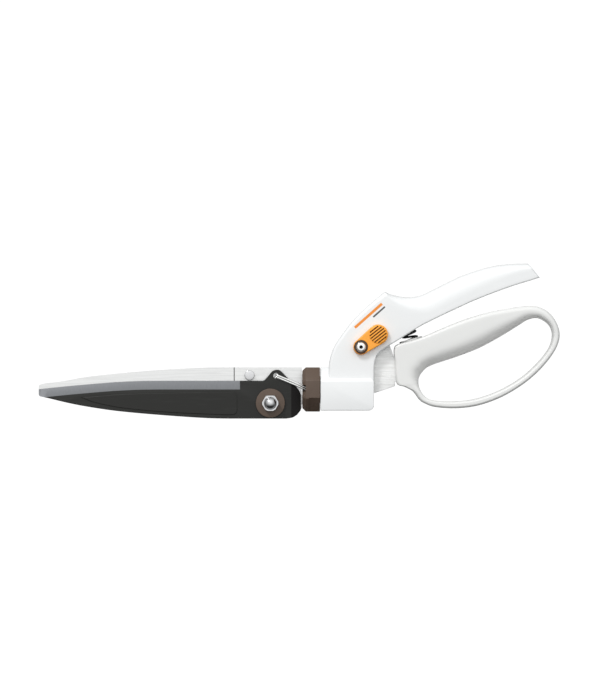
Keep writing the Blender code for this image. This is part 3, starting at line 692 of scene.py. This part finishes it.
def fixed_blade():
    spine = smooth([(TIP, 2.6), (-182.9, 3.9), (-169.8, 5.6), (-156.6, 8.0), (-137, 10.3),
                    (-120.5, 11.8), (-106, 12.9), (-88.7, 13.9), (-72.9, SPINE_TOP)])
    root = COLLAR_FRONT - 0.3
    tang = [(root, SPINE_TOP), (root, 10), (-2.5, 10), (-2.5, 3.8), (root, 3.8), (root, -3.8),
            (-2.5, -3.8), (-2.5, -10), (root, -10), (root, -12.5)]
    belly = [(-18, -17.0), (-44, -17.0), (-51, -12.5), (-58, -4.5)]
    edge = smooth([(-64, -1.6), (-110, -1.2), (-150, -2.2), (TIP, -2.6)])
    blade = plate("fixed_blade_fine", [spine + tang + belly + edge], FIXED_FRONT, FIXED_BACK)
    slots(blade, 3)
    # The step where the hollow grind ends takes the third slot: near-black painted shade in the
    # step.
    hollow = block("hollow_grind", (HOLLOW_END - 0.55, -5, -20),
                   (HOLLOW_END, FIXED_FRONT + 0.35, 25))
    slots(hollow, 3, 2)
    ground = wedge("fixed_grind", edge[::-1], 3.5, FIXED_BACK, FIXED_FRONT + EDGE_LAND)
    bolt = disc("fixed_bolt_hole", BOLT_HOLE, BLADE_PIVOT, -3, 6)
    pin = disc("fixed_pin_hole", 2.3, STOP_PIN, -3, 6)
    cut(blade, hollow, ground, bolt, pin)
    soften(blade, 0.15, 2, edge_at(FIXED_BACK, 60))
    return finish(blade, "head", "brushed_steel", BRUSHED, GROUND, SHADE_BLACK,
                  replaces=["fixed_blade"], angle=20)


def stop_pin():
    pin = disc("stop_pin_fine", 3.3, STOP_PIN, -3.15, -0.15)
    soften(pin, 0.45, 4, edge_at(-3.15))
    choose(pin, "FACE", lambda face: face.normal.y < -0.99)
    bpy.ops.mesh.inset(thickness=0.9 * MM, depth=0.12 * MM)
    done()
    rear = disc("stop_pin_shank", 2.0, STOP_PIN, -1.0, 2.9)
    rivet = disc("stop_pin_rivet", 2.8, STOP_PIN, 2.55, 3.35)
    soften(rivet, 0.4, 4, edge_at(3.35))
    join(pin, rear, rivet)
    return finish(pin, "head", "plated_steel", PLATED, replaces=["stop_pin"])


# ---------------------------------------------------------------- blade pivot

NUT_FLATS = 10.0


def hex_prism(name, flats, low, high, chamfer_low, chamfer_high):
    """A hexagon along y on the blade pivot, its ends turned down to a round shoulder."""
    across_corners = flats / math.sqrt(3)
    prism = disc(name, across_corners, BLADE_PIVOT, low, high, 6, math.radians(90))
    drum = disc(name + "_drum", across_corners * 1.002, BLADE_PIVOT, low, high)
    if chamfer_low:
        soften(drum, chamfer_low, 1, edge_at(low))
    if chamfer_high:
        soften(drum, chamfer_high, 1, edge_at(high))
    return boolean(prism, drum, "INTERSECT")


def pivot_nut():
    foot = span("pivot_nut", 1)[1]
    shoulder = foot - 4.6
    nut = hex_prism("pivot_nut_fine", NUT_FLATS, shoulder, foot, 0.5, 0.4)
    dome = ball("nut_dome", 4.2, BLADE_PIVOT[0], shoulder, BLADE_PIVOT[1], 32)
    neck = disc("nut_neck", 4.35, BLADE_PIVOT, shoulder - 0.5, shoulder + 0.5)
    soften(neck, 0.3, 3, edge_at(shoulder - 0.5))
    join(nut, neck, dome)
    cut(nut, disc("nut_bore", BOLT_HOLE, BLADE_PIVOT, shoulder - 1, foot + 1))
    return finish(nut, "head", "plated_steel", PLATED, replaces=["pivot_nut"], angle=25)


def pivot_bolt():
    low, high = span("pivot_bolt", 1)
    head = hex_prism("pivot_bolt_fine", NUT_FLATS, high - 4.0, high, 0, 0.75)
    choose(head, "FACE", lambda face: face.normal.y > 0.99)
    bpy.ops.mesh.inset(thickness=1.0 * MM, depth=-0.25 * MM)
    done()
    join(head, disc("bolt_shank", 3.0, BLADE_PIVOT, low, high - 3.5, 48))
    return finish(head, "head", "plated_steel", PLATED, replaces=["pivot_bolt"], angle=25)


def pivot_washer(node, radius, lip, material, slot):
    low, high = span(node, 1)
    ring = disc(node + "_fine", radius, BLADE_PIVOT, low, high, 96)
    cut(ring, disc(node + "_hole", BOLT_HOLE, BLADE_PIVOT, low - 1, high + 1))
    soften(ring, lip, 4)
    return finish(ring, "head", slot, material, replaces=[node])


# ---------------------------------------------------------------- swivel collar

def swivel_collar():
    flats, chamfer = 14.6, 2.3
    size = flats / math.cos(math.pi / 8)
    collar = bar("swivel_collar_fine", size, COLLAR_FRONT, -0.3, 8)
    rolled(collar, 22.5)
    front = DATUM.x + COLLAR_FRONT * MM
    choose(collar, "EDGE", lambda edge: all(abs(v.co.x - front) < 1e-5 for v in edge.verts))
    bpy.ops.mesh.bevel(offset=chamfer * MM, segments=1, profile=0.5)
    done()
    soften(collar, 0.5, 3, sharp(15))
    room = 3.5
    chamber = block("link_chamber", (COLLAR_FRONT - 1, -6.2, -room), (4.2, 2.3, room))
    mouth = block("link_mouth", (COLLAR_FRONT - 1, -16, -1.5), (COLLAR_FRONT + chamfer, 0, 3.0))
    slot = block("tang_slot", (COLLAR_FRONT - 1, -0.15, -10.3), (-2.2, 2.55, 10.3))
    thumbs = [rolled(block("thumb_flat", (-7.6, -20, -9), (0.5, 0.5 - flats, 9)), 45 * turn)
              for turn in (1, 3)]
    spigot = bar("collar_spigot", 9.0, -1, 9.4)
    flange = bar("collar_flange", 11.2, 8.7, 10.2)
    join(collar, spigot, flange)
    cut(collar, chamber, mouth, slot, bar("rod_bore", 2.3, -1, 14), *thumbs)
    return finish(collar, "head", "brown_plastic", BROWN, replaces=["swivel_collar"], angle=25)


# ---------------------------------------------------------------- pull rod

ROD_EYE = (0.5, 0)
ROD_RADIUS = 2.0
BALL_X = 29.5
BALL_RADIUS = 3.2


def link_wire():
    """The bent wire: an eye round the rod's pin and two strands that hook into the blade's ear."""
    slope = math.radians(22.8)
    spread, level, loop = 0.66, -3.3, 2.2
    ear = Vector(EAR)
    elbow = ear.x + ear.y / math.tan(slope)
    offset = Vector((math.sin(slope), math.cos(slope))) * spread
    upper = [ear + offset, Vector((elbow - 0.5, 0.21 + spread)), Vector((elbow + 0.5, spread)),
             Vector((-2.6, spread))]
    lower = [Vector((-2.6, -spread)), Vector((elbow - 0.3, -spread)),
             Vector((elbow - 1.0, 0.35 - spread)), ear - offset]
    eye = [Vector(p) for p in arc(ROD_EYE, loop, 150, -150, 28)]
    flat = [(p.x, level, p.y) for p in upper + eye + lower]
    start = hook(flat[0], flat[1])
    end = hook(flat[-1], flat[-2])
    strands = wire("link_wire_fine", start + flat[1:-1] + end[::-1], 0.6)
    return finish(strands, "pull_rod", "wire_steel", DRAWN, replaces=["link_wire"], angle=40)


def hook(end, inner):
    """The bend into the ear hole, from the tip to the strand."""
    end, inner = Vector(end), Vector(inner)
    radius = 0.85
    toward = (inner - end).normalized()
    centre = end + toward * radius + Vector((0, radius, 0))
    bend = [centre - toward * radius * math.cos(a) - Vector((0, radius, 0)) * math.sin(a)
            for a in [math.pi / 2 * i / 7 for i in range(8)]]
    tip = Vector((end.x, MOVING_BACK - 0.3, end.z))
    return [tuple(tip)] + [tuple(p) for p in bend]


def pull_rod():
    rod = bar("drive_rod_fine", ROD_RADIUS, 2.0, BALL_X)
    eye = disc("rod_eye", 3.0, ROD_EYE, -1.5, 1.5)
    soften(eye, 0.3)
    end = ball("rod_ball", BALL_RADIUS, BALL_X, 0, 0)
    join(rod, eye, end)
    cut(rod, disc("rod_eye_hole", 1.4, ROD_EYE, -5, 5))
    finish(rod, "pull_rod", "plated_steel", PLATED, replaces=["drive_rod"])
    pin = disc("rod_pin_fine", 1.2, ROD_EYE, -4.6, 1.5)
    head = disc("rod_pin_head", 2.1, ROD_EYE, -5.1, -4.1)
    soften(head, 0.25)
    join(pin, head)
    finish(pin, "pull_rod", "plated_steel", PLATED, replaces=["rod_pin"])


# ---------------------------------------------------------------- housing

ARCH = [  # outer edge, inner edge, half width, outer rounding, inner rounding
    ((5.3, -3.0), (34.9, -3.0), 12.0, (1.8, 1.8), (0.8, 0.8)),
    ((5.3, 6.9), (35.2, 7.5), 12.0, (1.8, 1.8), (0.8, 0.8)),
    ((5.9, 18.1), (35.4, 16.3), 12.0, (1.9, 1.9), (0.8, 0.8)),
    ((8.8, 27.5), (36.9, 22.2), 12.0, (2.0, 2.0), (0.9, 0.9)),
    ((13.6, 35.2), (39.6, 25.3), 12.0, (2.1, 2.1), (1.0, 1.0)),
    ((21.2, 45.1), (43.6, 28.0), 12.0, (2.3, 2.3), (1.0, 1.0)),
    ((31.0, 55.0), (49.0, 31.2), 12.0, (2.6, 2.6), (1.0, 1.0)),
    ((42.5, 64.6), (54.8, 34.8), 12.0, (3.4, 3.4), (1.0, 1.0)),
]
HANDLE = [
    ((42.5, 64.6), (54.8, 34.8), 12.0, (3.4, 3.4), (1.0, 1.0)),
    ((47.7, 62.5), (59.5, 37.8), 12.0, (7.0, 5.5), (1.0, 1.0)),
    ((56.5, 61.1), (66.0, 41.8), 12.0, (10.0, 7.5), (1.0, 1.0)),
    ((65.7, 62.0), (74.0, 45.9), 12.0, (12.0, 8.2), (1.0, 1.0)),
    ((75.0, 66.3), (82.0, 49.8), 12.0, (12.0, 8.2), (1.0, 1.0)),
    ((83.4, 70.5), (90.0, 53.5), 12.0, (12.0, 8.2), (1.0, 1.0)),
    ((93.0, 75.0), (99.0, 57.7), 12.0, (12.0, 8.2), (1.0, 1.0)),
    ((101.9, 78.2), (107.5, 61.2), 12.0, (11.0, 8.2), (1.0, 1.0)),
    ((110.4, 80.7), (117.0, 64.8), 12.0, (9.5, 8.0), (1.0, 1.0)),
    ((119.5, 82.4), (127.6, 68.6), 12.0, (8.0, 8.0), (1.0, 1.0)),
    ((128.5, 83.1), (136.8, 71.4), 12.0, (6.0, 7.5), (1.0, 1.0)),
    ((137.2, 83.2), (144.6, 73.9), 12.0, (4.5, 7.0), (1.0, 1.0)),
]


def stations(table, steps, through=smooth):
    """Rings between the rows of a table, by a smooth curve through each of its columns."""
    flat = [(*outer, *inner, half, *outer_round, *inner_round)
            for outer, inner, half, outer_round, inner_round in table]
    return [section(row[0:2], row[2:4], row[4], row[5:7], row[7:9])
            for row in through(flat, steps)]


LINE_BEFORE_END = 0.5
LINE_WIDTH = 0.5
LINE_DEPTH = 0.6


def end_line(ring, last):
    """The last rings of the handle, with a fine groove run round it just before the cut end."""
    ring, last = [Vector(p) for p in ring], [Vector(p) for p in last]
    length = sum((b - a).length for a, b in zip(ring, last)) / len(ring)
    edges = [[a.lerp(b, 1 - short / length) for a, b in zip(ring, last)]
             for short in (LINE_BEFORE_END + LINE_WIDTH, LINE_BEFORE_END)]
    floor = []
    for edge in edges:
        centre = sum(edge, Vector()) / len(edge)
        floor.append([p + (centre - p).normalized() * LINE_DEPTH for p in edge])
    return [edges[0], floor[0], floor[1], edges[1], last]


BARREL_HALF = 14.0
BARREL_TOP = 14.6
FACET_FOOT = 5.7
FACET_TOP_HALF = 6.2


def housing_body():
    arch = stations(ARCH, 6)
    handle = stations(HANDLE, 5)
    body = loft("housing_body", arch + handle[1:-1] + end_line(handle[-2], handle[-1]))
    outer, inner = HANDLE[-1][:2]
    corner = at(outer[0], 0, outer[1])
    beyond = Vector((outer[1] - inner[1], 0, inner[0] - outer[0])).normalized()
    soften(body, 0.2, 2, lambda edge: sharp(40)(edge) and
           all((v.co - corner).dot(beyond) > -1e-5 for v in edge.verts))
    outline = [(0, -13.8), (0, BARREL_TOP), (23.2, BARREL_TOP), (35.2, FACET_FOOT)]
    outline += arc((31.6, -10.2), 3.6, 0, -90, 10)
    barrel = plate("barrel", [outline], -BARREL_HALF, BARREL_HALF)
    lean = math.atan2(BARREL_TOP - FACET_FOOT, BARREL_HALF - FACET_TOP_HALF)
    for side in (-1, 1):
        facet = block("facet", (-5, 0, -20), (50, 20, 20))
        foot = Matrix.Translation(at(0, side * BARREL_HALF, FACET_FOOT))
        place = foot @ Matrix.Rotation(side * lean, 4, "X")
        flip = Matrix.Diagonal((1, side, 1, 1))
        facet.data.transform(place @ flip @ Matrix.Translation(-DATUM))
        if side < 0:
            facet.data.flip_normals()
        cut(barrel, facet)
    soften(barrel, 0.55, 3, sharp(25))
    return join(body, barrel)


ARM_SLOT = 5.8
SEAM = 0.08
SCREW_HEAD = 1.8
SCREW_NUMBERS = range(1, 6)


def housing():
    """The two halves of the housing, cut out inside and parted along a fine seam."""
    body = housing_body()
    slot = plate("arm_slot", [[(22, -8), (60, -8), (60, 20), (46.6, 33.5), (30, 36), (22, 30)]],
                 -ARM_SLOT, ARM_SLOT)
    room = block("fork_room", (13.9, -9.3, -11.1), (32.4, 9.3, 14))
    bore = bar("collar_bore", 9.3, -5, 8.5)
    groove = bar("flange_groove", 11.5, 8.4, 11.6)
    passage = bar("rod_passage", 2.3, 5, 20)
    cut(body, slot, room, bore, groove, passage, pocket("spring_pocket"))
    lock = disc("lock_hole", 3.2, LOCK_PIVOT, -20, 0)
    cut(body, lock)
    for number in SCREW_NUMBERS:
        place, (low, high) = screw_place(number), span(f"housing_screw_{number}", 1)
        hole = disc(f"screw_sink_{number}", 2.6, place, high - SCREW_HEAD - 0.3, 20)
        shaft = disc(f"screw_hole_{number}", 1.55, place, low - 0.3, 20, 32)
        cut(body, hole, shaft)
    only(body)
    bpy.ops.object.duplicate()
    back = bpy.context.object
    boolean(body, block("front_side", (-20, -40, -40), (200, -SEAM, 120)), "INTERSECT")
    boolean(back, block("back_side", (-20, SEAM, -40), (200, 40, 120)), "INTERSECT")
    body.name, back.name = "housing_front_fine", "housing_back_fine"
    finish(body, "housing", "white_plastic", WHITE_PRINTED, replaces=["housing_front"], angle=30)
    finish(back, "housing", "white_plastic", WHITE, replaces=["housing_back"], angle=30)


def screw_place(number):
    low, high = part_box(f"housing_screw_{number}")
    centre = ((low + high) / 2 - DATUM) / MM
    return centre.x, centre.z


def housing_screw(number):
    name = f"housing_screw_{number}"
    place, (low, high) = screw_place(number), span(name, 1)
    head = disc(name + "_fine", 2.3, place, high - SCREW_HEAD, high, 48)
    soften(head, 0.35, 3, edge_at(high))
    join(head, disc(name + "_shank", 1.25, place, low, high - 1.5, 32))
    cut(head, disc(name + "_drive", 1.25, place, high - 1.0, high + 1, 6))
    finish(head, "housing", "plated_steel", PLATED, replaces=[name])


# ---------------------------------------------------------------- lower handle

GRIP = [
    ((65.6, -6.9), (68.7, -4.2), 9.8, (1.6, 2.6), (1.6, 2.6)),
    ((61.2, -1.3), (66.2, -0.8), 10.0, (1.8, 2.4), (2.2, 3.0)),
    ((55.4, 1.8), (65.0, 2.6), 10.3, (2.0, 2.2), (4.5, 5.0)),
    ((51.2, 3.2), (64.8, 4.8), 10.5, (2.0, 2.0), (6.0, 6.0)),
    ((49.8, 8.5), (65.0, 7.2), 10.5, (1.8, 1.8), (7.5, 7.0)),
    ((49.3, 18.0), (66.3, 10.0), 10.5, (1.8, 1.8), (9.0, 8.0)),
    ((48.7, 26.2), (68.2, 12.4), 10.5, (1.8, 1.8), (8.5, 8.0)),
    ((51.0, 29.8), (70.4, 14.4), 10.5, (1.8, 1.8), (9.0, 8.5)),
    ((59.8, 32.1), (75.0, 16.6), 10.5, (1.8, 1.8), (9.0, 9.0)),
    ((69.0, 35.3), (82.0, 18.9), 10.5, (2.0, 2.0), (9.0, 9.0)),
    ((82.0, 40.9), (93.5, 22.8), 10.5, (2.4, 2.4), (9.0, 9.0)),
    ((96.0, 46.5), (106.1, 27.9), 10.5, (2.8, 2.8), (9.0, 9.0)),
    ((112.0, 51.2), (119.5, 35.2), 10.5, (3.0, 3.0), (8.5, 9.0)),
    ((127.0, 54.0), (130.5, 42.0), 10.4, (3.2, 3.2), (6.5, 8.0)),
    ((137.0, 55.2), (137.0, 46.0), 10.3, (3.2, 3.4), (5.5, 6.5)),
    ((145.0, 54.2), (143.5, 47.2), 10.2, (3.0, 3.6), (3.8, 5.0)),
    ((151.8, 50.0), (148.6, 45.0), 10.1, (2.6, 3.4), (2.8, 4.2)),
    ((156.3, 43.2), (152.2, 41.3), 10.0, (2.0, 3.2), (2.2, 3.6)),
    ((158.0, 35.5), (153.6, 35.5), 9.9, (1.8, 3.0), (1.8, 3.2)),
    ((155.4, 26.8), (151.4, 27.6), 9.8, (1.6, 2.8), (1.6, 2.8)),
    ((147.5, 15.8), (144.3, 18.2), 9.8, (1.6, 2.8), (1.6, 2.8)),
    ((135.5, 4.7), (133.2, 8.0), 9.8, (1.6, 2.8), (1.6, 2.8)),
    ((120.0, -4.8), (118.6, -0.6), 9.8, (1.6, 2.8), (1.6, 2.8)),
    ((104.0, -10.6), (103.3, -6.1), 9.8, (1.6, 2.8), (1.6, 2.8)),
    ((89.3, -12.4), (89.2, -7.9), 9.8, (1.6, 2.8), (1.6, 2.8)),
    ((76.0, -11.6), (77.5, -7.6), 9.8, (1.6, 2.8), (1.6, 2.8)),
    ((69.5, -9.5), (71.8, -6.3), 9.8, (1.6, 2.6), (1.6, 2.6)),
]


def lower_grip():
    grip = loft("lower_grip_fine", stations(GRIP, 5, smooth_loop), closed=True)
    socket = plate("arm_socket", [[(45, 4.8), (49.4, 4.7), (58.3, 7.6), (58.3, 19.4), (48.4, 21.9),
                                   (45, 22)]], -ARM_SLOT, ARM_SLOT)
    rim = along_spring("spring_rim", 7.65, -7.0, -2.1)
    soften(rim, 0.5, 3, lambda edge: sharp()(edge) and edge.verts[0].co.z > at(0, 0, 30).z)
    cut(join(grip, rim), socket, pocket("grip_pocket"))
    return finish(grip, "lower_handle", "grey_plastic", PALE, replaces=["lower_grip"], angle=30)


ARM_HALF = 5.5
FORK_PLAY = 0.38


def drive_arm():
    hub = arc(HANDLE_PIVOT, 4.6, 75, 215, 24)
    front = [(30.8, 23.0), (27.6, 12), (24.4, 3), (24.4, -7.0)]
    base = [(35.0, -7.0), (35.0, -2.6), (49.2, 2.2), (49.2, 5.0), (58, 8.0), (58, 19.0),
            (48.6, 21.5), (45.6, 29.6)]
    arm = plate("drive_arm_fine", [hub[::-1] + base[::-1] + front[::-1]], -ARM_HALF, ARM_HALF)
    soften(arm, 0.4, 3, lambda edge: edge_at(-ARM_HALF)(edge) or edge_at(ARM_HALF)(edge))
    x, z = HANDLE_PIVOT
    swing = math.degrees(math.atan2(x - BALL_X, z))
    axis = z - z / math.cos(math.radians(swing))
    wide, strip = BALL_RADIUS + FORK_PLAY, ROD_RADIUS + FORK_PLAY
    fork = block("ball_slot", (x - wide, -wide, axis - 14), (x + wide, wide, axis + 5.5))
    notch = block("rod_notch", (x - 14, -strip, axis - 14), (x, strip, axis + 3.6))
    pin = disc("arm_pin_hole", 2.3, HANDLE_PIVOT, -20, 20)
    cut(arm, turned(fork, HANDLE_PIVOT, swing), turned(notch, HANDLE_PIVOT, swing), pin)
    return finish(arm, "lower_handle", "arm_plastic", RIBBED, replaces=["drive_arm"])


# ---------------------------------------------------------------- return spring

SPRING_CENTRE = Vector((59.1, 0, 35.4))
SPRING_AXIS = Vector((-math.sin(math.radians(15.7)), 0, math.cos(math.radians(15.7))))


def along_spring(name, radius, low, high):
    """A cylinder round the spring's axis, between two distances from the spring's centre."""
    bpy.ops.mesh.primitive_cylinder_add(
        vertices=64, radius=radius * MM, depth=(high - low) * MM,
        location=at(*(SPRING_CENTRE + SPRING_AXIS * (low + high) / 2)),
        rotation=SPRING_AXIS.to_track_quat("Z", "Y").to_euler())
    return settle(bpy.context.object, name)


def pocket(name):
    """The round pocket for the spring, cut through both handles."""
    return along_spring(name, 5.65, -10.3, 10.3)


def return_spring():
    """The coil, which stretches between the housing and the lower handle."""
    side = Vector((SPRING_AXIS.z, 0, -SPRING_AXIS.x))
    turns, phase, radius, thick, reach = 5.0, math.radians(-34), 4.6, 0.75, 9.25
    points = []
    steps = round(turns * 28)
    for i in range(steps + 1):
        share = 2 * i / steps - 1
        a = math.pi * turns * (share + 1) + phase
        ring = (side * math.cos(a) + Vector((0, math.sin(a), 0))) * radius
        points.append(tuple(SPRING_CENTRE + ring + SPRING_AXIS * reach * share))
    spring = wire("return_spring_fine", points, thick, 5)
    finish(spring, None, "spring_steel", BLACK_SPRING, replaces=["return_spring"], angle=60)
    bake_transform(spring)


# ---------------------------------------------------------------- lock

PAD_CENTRE = (37.9, 36.3)
LEVER_FACE, LEVER_BACK = span("lock_lever", 1)
RIDGE_ANGLE = 38.0
GROOVES = 6
GROOVE_PITCH = 1.75
GROOVE_HALF = 0.42
GROOVE_DEPTH = 1.0
LOCK_BORE = 1.8


def lock_lever():
    pad, hub = 6.6, 5.1
    line = Vector(PAD_CENTRE) - Vector(LOCK_PIVOT)
    toward = math.degrees(math.atan2(line.y, line.x))
    lean = math.degrees(math.asin((pad - hub) / line.length))
    outline = arc(PAD_CENTRE, pad, toward + 90 + lean, toward - 90 - lean, 40)
    outline += arc(LOCK_PIVOT, hub, toward - 90 - lean, toward - 270 + lean, 30)
    low = LEVER_FACE + 0.5
    lever = plate("lock_lever_fine", [outline], low, LEVER_BACK)
    soften(lever, 0.7, 4, edge_at(low))
    knob = disc("lever_pad", pad - 0.75, PAD_CENTRE, LEVER_FACE, LEVER_BACK - 1, 96)
    soften(knob, 0.5, 4, edge_at(LEVER_FACE))
    slots(join(lever, knob), 2)
    for number in range(GROOVES):
        lift = (number - (GROOVES - 1) / 2) * GROOVE_PITCH
        reach = math.sqrt(max((pad - 1.0) ** 2 - lift ** 2, 0.5))
        x, z = PAD_CENTRE
        groove = block(f"groove_{number}", (x - reach, LEVER_FACE - 2, z + lift - GROOVE_HALF),
                       (x + reach, LEVER_FACE + GROOVE_DEPTH, z + lift + GROOVE_HALF))
        # Each groove's faces take the second slot, the dark orange of painted shade.
        cut(lever, slots(turned(groove, PAD_CENTRE, -RIDGE_ANGLE), 2, 1))
    recess = disc("lever_recess", 4.7, LOCK_PIVOT, LEVER_FACE - 5, LEVER_FACE + 1.7)
    hole = disc("lever_hole", LOCK_BORE, LOCK_PIVOT, LEVER_FACE - 5, LEVER_BACK + 3)
    cut(lever, recess, hole)
    return finish(lever, "lock", "orange_plastic", ORANGE, ORANGE_PAINTED_SHADE,
                  replaces=["lock_lever"], angle=30)


def lock_fasteners():
    low, high = span("lock_washer", 1)
    # The washer's dark brown paints the counterbore's shade round the screw head.
    ring = disc("lock_washer_fine", 4.4, LOCK_PIVOT, low, high, 96)
    cut(ring, disc("lock_washer_hole", LOCK_BORE, LOCK_PIVOT, low - 1, high + 1))
    soften(ring, 0.15, 2)
    finish(ring, "lock", "dark_brown_plastic", WASHER_SHADE_BROWN, replaces=["lock_washer"])
    low, high = span("lock_screw", 1)
    screw = disc("lock_screw_fine", 3.3, LOCK_PIVOT, low, low + 1.5, 96)
    soften(screw, 1.4, 8, edge_at(low))
    # The socket's faces take the second slot: near-black painted shade in the recess.
    socket = disc("screw_socket", 1.3, LOCK_PIVOT, low - 1, low + 1.3, 6)
    join(screw, disc("screw_shank", 1.5, LOCK_PIVOT, low + 1, high, 32))
    cut(slots(screw, 2), slots(socket, 2, 1))
    finish(screw, "lock", "plated_steel", DRAWN, SHADE_BLACK, replaces=["lock_screw"])


# ---------------------------------------------------------------- studio

FRONT_AND_BACK = 0.6
FRONT = 0.27
ABOVE = 0.34
HIGH_FRONT = 0.68
EVEN = 0.29


def sky():
    """Soft light from every side, strongest from high in front."""
    world = bpy.data.worlds.new("studio")
    bpy.context.scene.world = world
    nodes = Nodes(world)
    direction = nodes.node("ShaderNodeTexCoord").outputs["Generated"]
    _, y, z = nodes.parts_of(direction)
    glow = y * y * FRONT_AND_BACK - y * FRONT + z * ABOVE - y * z * HIGH_FRONT + EVEN
    background = nodes.tree.nodes["Background"]
    background.inputs["Color"].default_value = (0.99, 1.0, 0.997, 1)
    nodes.feed(background.inputs["Strength"], glow.at_least(0.03))


def soft_light(name, place, aim, size, power):
    lamp = bpy.data.lights.new(name, "AREA")
    lamp.shape = "DISK"
    lamp.size = size
    lamp.energy = power
    obj = bpy.data.objects.new(name, lamp)
    bpy.context.scene.collection.objects.link(obj)
    obj.location = place
    obj.rotation_euler = (Vector(aim) - Vector(place)).to_track_quat("-Z", "Y").to_euler()


FLOOR_DROP = -0.42
FLOOR_RADIUS = 2.0
ROOM_RADIUS = 12


def backdrop():
    """A pale floor below the tool, in a plain white room that only the camera sees."""
    bpy.ops.mesh.primitive_circle_add(
        vertices=96, radius=FLOOR_RADIUS, fill_type="NGON", location=(0, 0, FLOOR_DROP))
    ground = bpy.context.object
    bpy.ops.mesh.primitive_uv_sphere_add(segments=48, ring_count=24, radius=ROOM_RADIUS)
    room = bpy.context.object
    looks = (ground, "floor", (0.9, 0.9, 0.9), 0.18), (room, "room", (0, 0, 0), 1.05)
    for obj, name, colour, glow in looks:
        obj.name = name
        paint = Finish(name + "_paint", colour, 0.8)
        paint.set("Roughness", paint.noise(0.01) * 0.1 + 0.75)
        paint.set("Emission Color", (1, 1, 1, 1))
        paint.set("Emission Strength", glow)
        obj.data.materials.append(paint.material)
        obj.visible_diffuse = obj.visible_glossy = obj.visible_transmission = False
        obj.visible_shadow = False


LENS = 200.0
SENSOR = 36.0
VIEW_HEIGHT = 0.462
VIEW_CENTRE = (-13.5, -8, 26.1)


def camera():
    """A long lens, level with the tool, that frames it as seen from the lock lever's side."""
    distance = VIEW_HEIGHT / SENSOR * LENS
    cam = bpy.data.cameras.new("camera")
    cam.lens = LENS
    cam.sensor_width = SENSOR
    cam.clip_end = 50
    obj = bpy.data.objects.new("camera", cam)
    bpy.context.scene.collection.objects.link(obj)
    obj.location = at(*VIEW_CENTRE) - Vector((0, distance, 0))
    obj.rotation_euler = (math.pi / 2, 0, 0)
    bpy.context.scene.camera = obj


# ---------------------------------------------------------------- everything

camera()
sky()
soft_light("key", place=(-1.0, -1.35, 1.7), aim=(0, 0, 0), size=0.5, power=26)
backdrop()
bpy.context.scene.view_settings.view_transform = "Standard"

moving_blade()
fixed_blade()
stop_pin()
pivot_nut()
pivot_bolt()
pivot_washer("front_washer", 9.6, 0.35, BROWN, "brown_plastic")
pivot_washer("back_washer", 7.6, 0.3, PLATED, "plated_steel")
swivel_collar()
link_wire()
pull_rod()
housing()
for screw_number in SCREW_NUMBERS:
    housing_screw(screw_number)
lower_grip()
drive_arm()
return_spring()
lock_lever()
lock_fasteners()
for node in ("wave_washer", "handle_pivot_pin", "lock_cam"):
    frame["nodes"][node].data.materials.clear()
    frame["nodes"][node].data.materials.append(PLATED)

bpy.context.view_layer.update()
